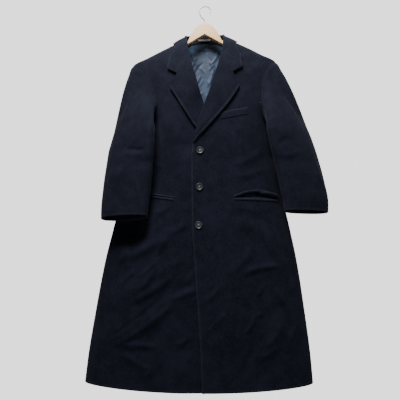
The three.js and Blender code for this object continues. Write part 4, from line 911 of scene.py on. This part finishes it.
def strip(name, node, x_ends, z_ends, width, thick, bow, rows, columns=70):
    """A raised strip on the front: level across or slanting, arched by a sine, with a half-round top."""
    along = np.linspace(0, 1, columns)[None, :]
    up = np.linspace(-1, 1, rows)[:, None]
    x = mix(*x_ends, along) + 0 * up
    z = mix(*z_ends, along) + bow * arch(along) - up * width / 2
    crown = 0.25 + 0.75 * np.sqrt(np.clip(1 - (up * 0.92) ** 2, 0, 1)) + 0 * along
    ends = ease(0, 0.03, along) * ease(0, 0.03, 1 - along)
    face = on_front(x, z, STRIP_GAP + thick * crown * (0.35 + 0.65 * ends), fine=1.0)
    inside = on_front(x, z, np.full_like(x, STRIP_GAP - 0.2), fine=1.0)
    piece = wall_mesh(name, face, inside, roll_steps=2, worn_and_lit="top bottom")
    if node:
        return hang_cloth(piece, face, node)
    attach(piece, "root")
    print(name, "is in the mouth of the pocket")
    return piece


# name, solid, x of both ends, z of both ends, width, thickness, bow and rows of each strip
strips = [
    ("breast_welt", "breast_welt", (54, 146), (-435, -416), 23.5, 2.0, 0, 15),
    ("left_upper_lip", "pocket_left_upper_jet", (102, 246), (-704, -698), 6.5, 2.2, 16, 9),
    ("left_inner_edge", None, (186, 244), (-694, -699), 11, 6.0, 2, 9),
    ("left_inner_fold", None, (138, 172), (-703, -698), 6, 4.5, 1, 9),
    ("left_lower_lip", "pocket_left_lower_jet", (102, 246), (-713, -715), 6, 2.2, 0, 9),
    ("right_upper_lip", "pocket_right_upper_jet", (-87, -198), (-707, -689.5), 5.6, 2.0, 0, 9),
    ("right_lower_lip", "pocket_right_lower_jet", (-87, -198), (-715, -697.5), 5.6, 2.0, 0, 9),
]
wool_pieces += [strip(f"cloth_{name}", *row) for name, *row in strips]

# %% [markdown]
# The lining hangs loosely inside the back, so satin shows in the open neck. It has a pleat down the
# middle, which gives the shoulders room, and crumples in short creases because it is thin. The same
# bells as on the wool make these creases, only narrower and closer together.

# %% Lining
LINING_END_Z = -640
SATIN = 0.6
lining_creases = [
    (-52, -150, -20, -215, 5, 2.4, 4), (50, -150, 22, -205, 5, 2.2, -4), (-38, -190, -60, -250, 5, 2.6, 3),
    (-12, -200, -44, -262, 4.5, -2.2, 4), (16, -190, 46, -236, 5, 2.4, 3), (30, -225, 10, -290, 4.5, 2.2, -4),
    (-18, -250, -34, -320, 5, 2.6, 4), (-42, -270, -16, -300, 4, 2.0, 2), (40, -250, 22, -310, 4.5, -2.0, 3),
    (12, -270, 34, -340, 5, 2.4, -3), (-8, -310, -26, -372, 4.5, 2.2, 3), (20, -330, 8, -392, 4.5, 2.2, 3),
    (-24, -350, 4, -396, 4, -1.8, 3), (-4, -380, 14, -440, 5, 2.2, -3), (-70, -160, -95, -260, 8, 2.4, 5),
    (72, -160, 98, -250, 8, 2.4, -5), (-100, -280, -70, -400, 9, 2.4, 6), (100, -280, 72, -400, 9, 2.2, -6),
    (-46, -150, -30, -178, 3, 1.4, 2), (34, -146, 48, -180, 3, 1.4, -2), (-30, -176, -52, -204, 3, 1.3, 2),
    (6, -160, 26, -186, 3, 1.2, 2), (-24, -214, -2, -236, 3, 1.4, -2), (36, -206, 14, -228, 3, 1.4, 2),
    (-48, -232, -30, -262, 3, 1.4, 2), (24, -246, 46, -262, 3, -1.3, 2), (-6, -262, -22, -290, 3, 1.4, -2),
    (34, -282, 18, -302, 3, 1.4, 2), (-34, -292, -12, -318, 3, 1.4, 2), (4, -322, 24, -346, 3, 1.4, -2),
    (-18, -338, -2, -362, 3, 1.2, 2), (14, -364, -4, -388, 3, 1.2, 2), (-60, -420, -30, -560, 10, 2.2, 6),
    (50, -430, 34, -590, 10, 2.2, -5), (-120, -470, -96, -620, 10, 2.0, 5),
    (118, -460, 92, -610, 10, 2.0, -5), (-30, -142, 30, -146, 5, 1.2, 2),
]


def lining_cloth(rows=150, columns=121):
    """Satin a little inside the back, on a grid that is finest near the middle and the top, less the
    bells of the creases and a step at the pleat."""
    top = curves_of("angle z", (143, -140), (150, -131), (180, -124)).z
    share = np.linspace(-1, 1, columns)[None, :]
    share = share * mix(0.35, 1, np.abs(share))
    angle = 180 - np.abs(share) * 37
    t = np.linspace(0, 1, rows)[:, None] ** 1.3
    z = mix(top(angle), LINING_END_Z, t)
    signed = np.where(share < 0, -angle, angle) + 0 * z
    normal, points = coat_normal(signed, z), coat_point(signed, z)
    x = points[..., 0]
    pleat = 0.96 * np.tanh(x / 1.5) * ease(0, 0.05, t) * (1 - ease(0.6, 1, t))
    crumpled = 0.9 * ease(0, 0.03, t) * fold_height(lining_creases, x, z)
    out = (-WOOL - mix(1.8, 6, ease(0, 0.2, t)) - crumpled - pleat)[..., None]
    return points + normal * out, points + normal * (out - SATIN)


inside_face, face = lining_cloth()
lining = hang_cloth(wall_mesh("satin_back_lining", face, inside_face), face, "back_lining")

# %% [markdown]
# The loop on the collar stand is a short woven tape, sewn down at both ends and slightly bowed between
# them. It gets a fine grid too, so that the bow and the turned-in ends show. A box would be quicker, but
# its ends wouldn't look sewn.


# %% Hanger loop
TAPE_HALF_LENGTH, TAPE_HALF_WIDTH, TAPE_THICK = 22, 3.2, 0.8
STAND_Y, TAPE_Z = 36.2, -110


def tape_cloth(rows=9, columns=61):
    """A flat strip across the back of the neck: it bows out by a cosine, and dips by a bell near each end,
    where it is sewn down."""
    across = np.linspace(-1, 1, columns)[None, :]
    up = np.linspace(1, -1, rows)[:, None]
    x = TAPE_HALF_LENGTH * across + 0 * up
    bow = 0.9 * np.cos(across * np.pi / 2) ** 0.7
    y = STAND_Y - 0.9 - bow - 0.5 * bell(np.abs(across) - 0.93, 0.05) + 0 * up
    z = TAPE_Z + TAPE_HALF_WIDTH * up + 0.5 * across**2
    return np.stack([x, y, z], -1), np.stack([x, y + TAPE_THICK, z], -1)


face, below = tape_cloth()
tape = hang_cloth(wall_mesh("tape_loop", face, below), face, "hanger_loop")

# %% [markdown]
# The buttons are turned from a dark, horn-like plastic: a raised rim, a shallow dish, four holes and a
# cross of thread. The button is a profile carried round its axis. The holes are deep dents in the dish,
# which look the same as drilled ones and keep the mesh in one clean piece.


# %% Buttons and thread
BUTTON_X = -8.0
BUTTON_HEIGHTS = (-552.0, -673.0, -796.0)
HOLE_AT, HOLE_RADIUS, HOLE_DEPTH = 2.6, 1.25, 1.5
THREAD_RADIUS = 0.38
STRANDS = (-0.45, 0.0, 0.45)


def closed_ends(piece):
    """Merges the points that meet at a pole, so that the surface is closed there."""
    shape = bmesh.new()
    shape.from_mesh(piece.data)
    bmesh.ops.remove_doubles(shape, verts=shape.verts, dist=2e-6)
    bmesh.ops.recalc_face_normals(shape, faces=shape.faces)
    shape.to_mesh(piece.data)
    shape.free()
    return piece


def ring_faces(rows, columns):
    """Four-cornered faces between rings of points; the last point of each ring joins its first."""
    index = np.arange(rows * columns).reshape(rows, columns)
    ahead = np.roll(index, -1, axis=1)
    return np.stack([index[:-1], ahead[:-1], ahead[1:], index[1:]], -1).reshape(-1, 4)


button_profile = curves_of(
    "step radius height",
    (0, 0, 0), (4, 10.4, 0), (5, 11.5, 0.5), (6, 12, 1.3), (7, 11.8, 2.5), (8, 11, 3.15), (9, 9.9, 3.0),
    (10, 8.6, 2.25), (11, 6.8, 1.95), (12, 0, 1.9),
)


def button_shape(name, x, y, z, around=96, steps=84):
    """A profile turned round the axis: from the middle of the back over the rim to the middle of the
    dish, with four bell-shaped dents for the holes."""
    step = np.linspace(0, 12, steps)
    step = np.concatenate([step[step < 10.6], np.linspace(10.6, 12, 34)])[:, None]
    turn = np.linspace(0, 2 * np.pi, around, endpoint=False)[None, :]
    radius, height = button_profile.radius(step), button_profile.height(step)
    across, up = radius * np.cos(turn), radius * np.sin(turn)
    front = ease(9, 10, step)
    for side_x, side_z in ((1, 1), (1, -1), (-1, 1), (-1, -1)):
        away = np.hypot(across - side_x * HOLE_AT, up - side_z * HOLE_AT)
        height = height - front * HOLE_DEPTH * np.exp(-((away / HOLE_RADIUS) ** 6))
    points = np.stack([x + across, y - height + 0 * across, z + up], -1).reshape(-1, 3)
    piece = mesh_piece(name, hung_askew(points) * MM, ring_faces(len(step), around))
    return closed_ends(piece)


def tube(name, path, radius, sides):
    """A round thread or wire: rings of points along a path, each square to the path's direction, which
    shrink to nothing at both ends."""
    ahead = unit(np.gradient(path, axis=0))
    first = unit(np.cross(ahead, np.array([0.0, 1.0, 0.013])))
    second = np.cross(ahead, first)
    turn = np.linspace(0, 2 * np.pi, sides, endpoint=False)[None, :, None]
    ring = np.cos(turn) * first[:, None] + np.sin(turn) * second[:, None]
    length = np.concatenate([[0], np.cumsum(np.linalg.norm(np.diff(path, axis=0), axis=1))])
    end = np.minimum(length, length[-1] - length) / radius
    size = radius * np.sqrt(np.clip(1 - (1 - np.clip(end, 0, 1)) ** 2, 0, 1))
    points = hung_askew((path[:, None] + ring * size[:, None, None]).reshape(-1, 3))
    return closed_ends(mesh_piece(name, points * MM, ring_faces(len(path), sides)))


def tight_ends(count, radius, length):
    """Shares along a path, crowded near both ends, where a tube closes."""
    end = np.linspace(0, min(radius / length, 0.3), 7)
    return np.concatenate([end, np.linspace(end[-1], 1 - end[-1], count)[1:-1], 1 - end[::-1]])


def stitch(name, height, back_y, from_x, from_z, strand, above):
    """One strand over the button, from a hole to the one across: it rises as the root of a sine."""
    share = tight_ends(16, 0.35, 7.4)
    x = BUTTON_X + from_x * mix(HOLE_AT, -HOLE_AT, share) - 0.75 * strand * from_z
    z = height + from_z * mix(HOLE_AT, -HOLE_AT, share) + 0.75 * strand * from_x
    y = back_y - 1.1 - above * arch(share) ** 0.45
    return tube(name, np.stack([x, y, z], -1), THREAD_RADIUS, sides=8)


buttons, threads = [], []
for number, height in enumerate(BUTTON_HEIGHTS, start=1):
    back_y = float(on_front(BUTTON_X, height, 0.0)[1]) - 0.6
    button = button_shape(f"horn_button_{number}", BUTTON_X, back_y, height)
    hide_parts(f"button_{number}")
    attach(button, "root")
    buttons.append(button)
    for twist, from_x in enumerate((1, -1)):
        for strand in STRANDS:
            name = f"thread_{number}_{twist}_{int(strand * 2 + 1)}"
            thread = stitch(name, height, back_y, from_x, 1, strand, 1.25 + 0.35 * twist)
            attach(thread, "root")
            threads.append(thread)
print("buttons", len(buttons), "threads", len(threads))

# %% [markdown]
# The hanger is a flat board with an arched crown and arms that run just under the shoulders. Its shape
# is simple and already right, so the solid stays and only gets its wood. The hook is a bent wire, which
# is drawn again as a smooth tube along the same path.

# %% Hook
WIRE_RADIUS = 1.8
rise = [(0.0, -65.65), (0.0, -59.0), (-3.5, -50.0), (-13.0, -39.0), (-18.7, -25.7)]
bend = np.linspace(np.pi, 0, 9)
knots = np.array(rise + [(20 * np.cos(a), -18.2 + 20 * np.sin(a)) for a in bend] + [(18.7, -25.7)])


def through_knots(knots, per_span=12):
    """Catmull-Rom curve: between two knots, a cubic whose slopes are half the step between neighbours."""
    padded = np.concatenate([[2 * knots[0] - knots[1]], knots, [2 * knots[-1] - knots[-2]]])
    t = np.linspace(0, 1, per_span, endpoint=False)[None, :, None]
    p0, p1, p2, p3 = (padded[i:len(padded) - 3 + i, None] for i in range(4))
    curve = 0.5 * (2 * p1 + (p2 - p0) * t + (2 * p0 - 5 * p1 + 4 * p2 - p3) * t**2
                   + (3 * p1 - p0 - 3 * p2 + p3) * t**3)
    return np.concatenate([curve.reshape(-1, 2), knots[-1:]])


plane = through_knots(knots)
lengths = np.concatenate([[0], np.cumsum(np.linalg.norm(np.diff(plane, axis=0), axis=1))])
share = tight_ends(150, WIRE_RADIUS, lengths[-1]) * lengths[-1]
path_x, path_z = (np.interp(share, lengths, plane[:, axis]) for axis in (0, 1))
hook = tube("wire_hook", np.stack([path_x, 0 * share, path_z], -1), WIRE_RADIUS, sides=20)
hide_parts("hanger_hook")
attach(hook, "root")
print("the hook is", round(float(lengths[-1])), "mm of wire")

# %% [markdown]
# Materials are sums of noise patterns. Written as nodes by hand they turn into long lists, so one small
# class wraps a socket and lets numbers be added and multiplied in plain Python.


# %% A small language for finishes
class Amount:
    """A number that varies over a surface, as the output of a node."""

    def __init__(self, finish, socket):
        self.finish, self.socket = finish, socket

    def combine(self, operation, first, second):
        """The result of a sum or a product of two numbers, as a node of its own."""
        return self.finish.add("ShaderNodeMath", {"operation": operation}, {0: first, 1: second})

    def __add__(self, other):
        return self.combine("ADD", self, other)

    __radd__ = __add__

    def __sub__(self, other):
        return self.combine("SUBTRACT", self, other)

    def __rsub__(self, other):
        return self.combine("SUBTRACT", other, self)

    def __mul__(self, other):
        return self.combine("MULTIPLY", self, other)

    __rmul__ = __mul__


class Finish:
    """A material with one Principled shader."""

    def __init__(self, name, **constants):
        self.material = bpy.data.materials.new(name)
        self.material.use_nodes = True
        self.tree = self.material.node_tree
        self.shader = self.tree.nodes["Principled BSDF"]
        for socket, value in constants.items():
            self.shader.inputs[socket.replace("_", " ")].default_value = value

    def add(self, kind, settings=None, values=None, output=0):
        """Adds a node: first its settings, then the values or links of its sockets."""
        node = self.tree.nodes.new(kind)
        for key, value in (settings or {}).items():
            setattr(node, key, value)
        for key, value in (values or {}).items():
            if isinstance(value, Amount):
                self.tree.links.new(value.socket, node.inputs[key])
            else:
                node.inputs[key].default_value = value
        return Amount(self, node.outputs[output])

    def place(self, scale=(1, 1, 1)):
        """Object coordinates, stretched by a factor along each axis."""
        where = self.add("ShaderNodeTexCoord", output=3)
        return self.add("ShaderNodeVectorMath", {"operation": "MULTIPLY"}, {0: where, 1: scale})

    def noise(self, scale, detail=2.0, stretch=(1, 1, 1), roughness=0.5):
        """Cloudy noise, around 0.5."""
        values = {"Vector": self.place(stretch), "Scale": scale, "Detail": detail, "Roughness": roughness}
        return self.add("ShaderNodeTexNoise", values=values)

    def attribute(self, name):
        """A number that is kept with the points of the mesh."""
        return self.add("ShaderNodeAttribute", {"attribute_name": name}, output=2)

    def waves(self, scale, direction="DIAGONAL", distortion=0.0, stretch=(1, 1, 1)):
        """Bands across one direction, from 0 to 1."""
        settings = {"wave_type": "BANDS", "bands_direction": direction}
        values = {"Vector": self.place(stretch), "Scale": scale, "Distortion": distortion, "Detail": 1.0}
        return self.add("ShaderNodeTexWave", settings, values, output=1)

    def between(self, low, high, value):
        """0 below low, 1 above high, smooth between."""
        settings = {"interpolation_type": "SMOOTHSTEP"}
        return self.add("ShaderNodeMapRange", settings, {0: value, 1: low, 2: high, 3: 0.0, 4: 1.0})

    def blend(self, factor, first, second):
        """Mix of two colours."""
        values = {0: factor, 6: first, 7: second}
        return self.add("ShaderNodeMix", {"data_type": "RGBA"}, values, output=2)

    def drive(self, socket, value):
        """Lets a value set one property of the shader."""
        self.tree.links.new(value.socket, self.shader.inputs[socket])

    def bump(self, height, distance, strength=1.0):
        """Raises the surface by a height times a distance, in light only."""
        values = {"Height": height, "Distance": distance, "Strength": strength}
        self.drive("Normal", self.add("ShaderNodeBump", values=values))

    def cover(self, *pieces):
        """Gives the material to pieces."""
        for piece in pieces:
            piece.data.materials.clear()
            piece.data.materials.append(self.material)
        print(self.material.name, "on", len(pieces), "pieces")


def rgb(red, green, blue):
    """An opaque colour."""
    return (red, green, blue, 1.0)


# %% [markdown]
# The wool is a heavy, felted coating: nearly black navy, with a short nap that lies downwards and catches
# a little grey light at grazing angles. The nap is fine noise stretched along the hang of the cloth. Two
# wider noises stand for uneven pressing and rubbing, and a few pale specks for lint. Sheen, a constant of
# the shader, gives the soft bloom at the edges of the folds.

# %% Wool
wool = Finish("navy_wool", Roughness=0.92, Sheen_Weight=0.07, Sheen_Roughness=0.45,
              Sheen_Tint=rgb(0.42, 0.47, 0.62), Specular_IOR_Level=0.18)
nap = wool.noise(620, 3, (1, 1, 0.4), 0.65)
felt = wool.noise(170, 3, (1, 1, 0.7))
patches = wool.noise(34, 3)
cloud = wool.noise(7, 2)
twill = wool.waves(300, "DIAGONAL", 1.5)
tone = 0.34 * nap + 0.24 * felt + 0.24 * patches + 0.18 * cloud
cloth = wool.blend(wool.between(0.40, 0.60, tone), rgb(0.0028, 0.0038, 0.0105), rgb(0.0100, 0.0118, 0.0250))
lint = wool.between(0.775, 0.80, wool.noise(420, 1)) * wool.between(0.5, 0.62, wool.noise(24, 1))
# The cut edges are lightened, partly as real wear and partly as a painted highlight where the thick edges
# catch the light.
rubbed_and_highlit = wool.attribute("worn_and_lit") * (0.05 + 0.7 * felt)
cloth = wool.blend(rubbed_and_highlit, cloth, rgb(0.030, 0.034, 0.048))
wool.drive("Base Color", wool.blend(lint * 0.7, cloth, rgb(0.09, 0.10, 0.12)))
wool.drive("Roughness", 0.86 + 0.12 * felt)
wool.bump(0.75 * nap + 0.45 * felt + 0.12 * twill + 0.5 * patches, 0.0011, 0.6)
wool.cover(*wool_pieces)

# %% [markdown]
# The lining is a blue-grey satin. Its long smooth threads make one soft highlight along each crease, so
# its roughness is low and its bump very fine.

# %% Satin, tape and thread
satin = Finish("blue_grey_satin", Roughness=0.45, Specular_IOR_Level=0.25)
threads_down = satin.waves(1500, "X", 0.6)
shade = satin.noise(14, 3)
satin.drive("Base Color", satin.blend(satin.between(0.35, 0.65, shade), rgb(0.016, 0.034, 0.072),
                                      rgb(0.042, 0.075, 0.135)))
satin.drive("Roughness", 0.42 + 0.16 * shade)
satin.bump(0.3 * threads_down + satin.noise(240, 2), 0.00025, 0.5)
satin.cover(lining)

woven = Finish("grey_tape", Roughness=0.8, Sheen_Weight=0.2)
weave = woven.waves(900, "X", 0.3) * woven.waves(1300, "Z", 0.3)
woven.drive("Base Color", woven.blend(weave, rgb(0.16, 0.17, 0.19), rgb(0.34, 0.36, 0.39)))
woven.bump(weave, 0.0003, 0.7)
woven.cover(tape)

cotton = Finish("button_thread", Roughness=0.75, Sheen_Weight=0.3)
ply = cotton.waves(2600, "DIAGONAL", 0.2)
cotton.drive("Base Color", cotton.blend(ply, rgb(0.16, 0.17, 0.20), rgb(0.30, 0.31, 0.35)))
cotton.bump(ply, 0.0001, 0.6)
cotton.cover(*threads)

# %% [markdown]
# Horn has faint cloudy streaks under a thin polish. The hanger is pale beech with long grain and a thin clear
# varnish, and the hook is bright drawn wire.

# %% Horn, wood and wire
horn = Finish("dark_horn", Roughness=0.36, Coat_Weight=0.25, Coat_Roughness=0.2)
streaks = horn.noise(160, 3, (1, 1, 0.35))
horn.drive("Base Color", horn.blend(horn.between(0.35, 0.65, streaks), rgb(0.018, 0.019, 0.024),
                                    rgb(0.050, 0.051, 0.058)))
horn.drive("Roughness", 0.30 + 0.2 * streaks)
horn.bump(horn.noise(900, 2), 0.00008, 0.5)
horn.cover(*buttons)

wood = Finish("pale_beech", Roughness=0.42, Coat_Weight=0.35, Coat_Roughness=0.18)
grain = wood.noise(60, 4, (0.25, 1, 3.0), 0.6)
flecks = wood.between(0.60, 0.72, wood.noise(420, 2, (0.3, 1, 1)))
rings = wood.waves(26, "Z", 3.5, (0.4, 1, 1))
timber = wood.blend(0.55 * grain + 0.35 * rings, rgb(0.88, 0.44, 0.13), rgb(1.0, 0.70, 0.32))
wood.drive("Base Color", wood.blend(flecks * 0.45, timber, rgb(0.42, 0.23, 0.10)))
wood.drive("Roughness", 0.36 + 0.18 * grain)
wood.bump(0.6 * grain + 0.3 * flecks, 0.0003, 0.5)
wood.cover(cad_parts["hanger_body"])

wire = Finish("bright_wire", Metallic=1.0, Roughness=0.28)
drawn = wire.noise(700, 2, (1, 1, 0.2))
wire.drive("Base Color", wire.blend(drawn, rgb(0.22, 0.225, 0.24), rgb(0.42, 0.43, 0.45)))
wire.drive("Roughness", 0.22 + 0.16 * drawn)
wire.cover(hook)

# %% [markdown]
# The set is plain: a pale floor well below the hem, a bright even surround, and large soft lamps from the
# front and above. The surround is much brighter to the eye than as light. One strength for both would be
# simpler, but it would flood the dark wool and flatten its folds.

# %% Floor and light
FLOOR_Z, FLOOR_REACH = -2.0, 2.0
STRENGTH_AS_LIGHT, STRENGTH_SEEN = 0.10, 2.3
floor_mesh = bpy.data.meshes.new("floor")
corners = [(x * FLOOR_REACH, y * FLOOR_REACH, FLOOR_Z) for x, y in ((-1, -1), (1, -1), (1, 1), (-1, 1))]
floor_mesh.from_pydata(corners, [], [(0, 1, 2, 3)])
floor = bpy.data.objects.new("floor", floor_mesh)
bpy.context.scene.collection.objects.link(floor)
ground = Finish("pale_floor", Roughness=0.9, Base_Color=rgb(0.80, 0.81, 0.80))
ground.cover(floor)
world = bpy.data.worlds.new("soft_surround")
world.use_nodes = True
sky = world.node_tree.nodes["Background"]
sky.inputs[0].default_value = rgb(0.86, 0.87, 0.86)
seen = world.node_tree.nodes.new("ShaderNodeLightPath")
brighter = world.node_tree.nodes.new("ShaderNodeMapRange")
brighter.inputs["To Min"].default_value = STRENGTH_AS_LIGHT
brighter.inputs["To Max"].default_value = STRENGTH_SEEN
world.node_tree.links.new(seen.outputs["Is Camera Ray"], brighter.inputs[0])
world.node_tree.links.new(brighter.outputs[0], sky.inputs[1])
bpy.context.scene.world = world


def lamp(name, place, aim, size, power):
    """A square soft lamp that faces a point."""
    light = bpy.data.lights.new(name, "AREA")
    light.size, light.energy = size, power
    thing = bpy.data.objects.new(name, light)
    bpy.context.scene.collection.objects.link(thing)
    back = unit(np.array(place, float) - np.array(aim, float))
    across = unit(np.cross((0.0, 0.0, 1.0), back))
    thing.matrix_world = placed(across, np.cross(back, across), back, place)


lamp("ceiling_front", (-0.25, -0.85, 0.85), (0, 0, -0.40), 0.7, 46)
lamp("side_fill", (2.2, -1.6, 0.4), (0, 0, -0.6), 1.4, 4)
lamp("back_fill", (0.8, 2.2, 1.0), (0, 0, -0.6), 2.0, 20)
sun = bpy.data.lights.new("skylight_behind", "SUN")
sun.energy, sun.angle = 1.2, 0.6
skylight = bpy.data.objects.new("skylight_behind", sun)
skylight.rotation_euler = (-0.55, 0, 0)
bpy.context.scene.collection.objects.link(skylight)

# %% [markdown]
# Last, the number of triangles in the wool is printed.

# %% Triangles of the wool
print("triangles of the wool:", sum(2 * len(piece.data.polygons) for piece in wool_pieces))
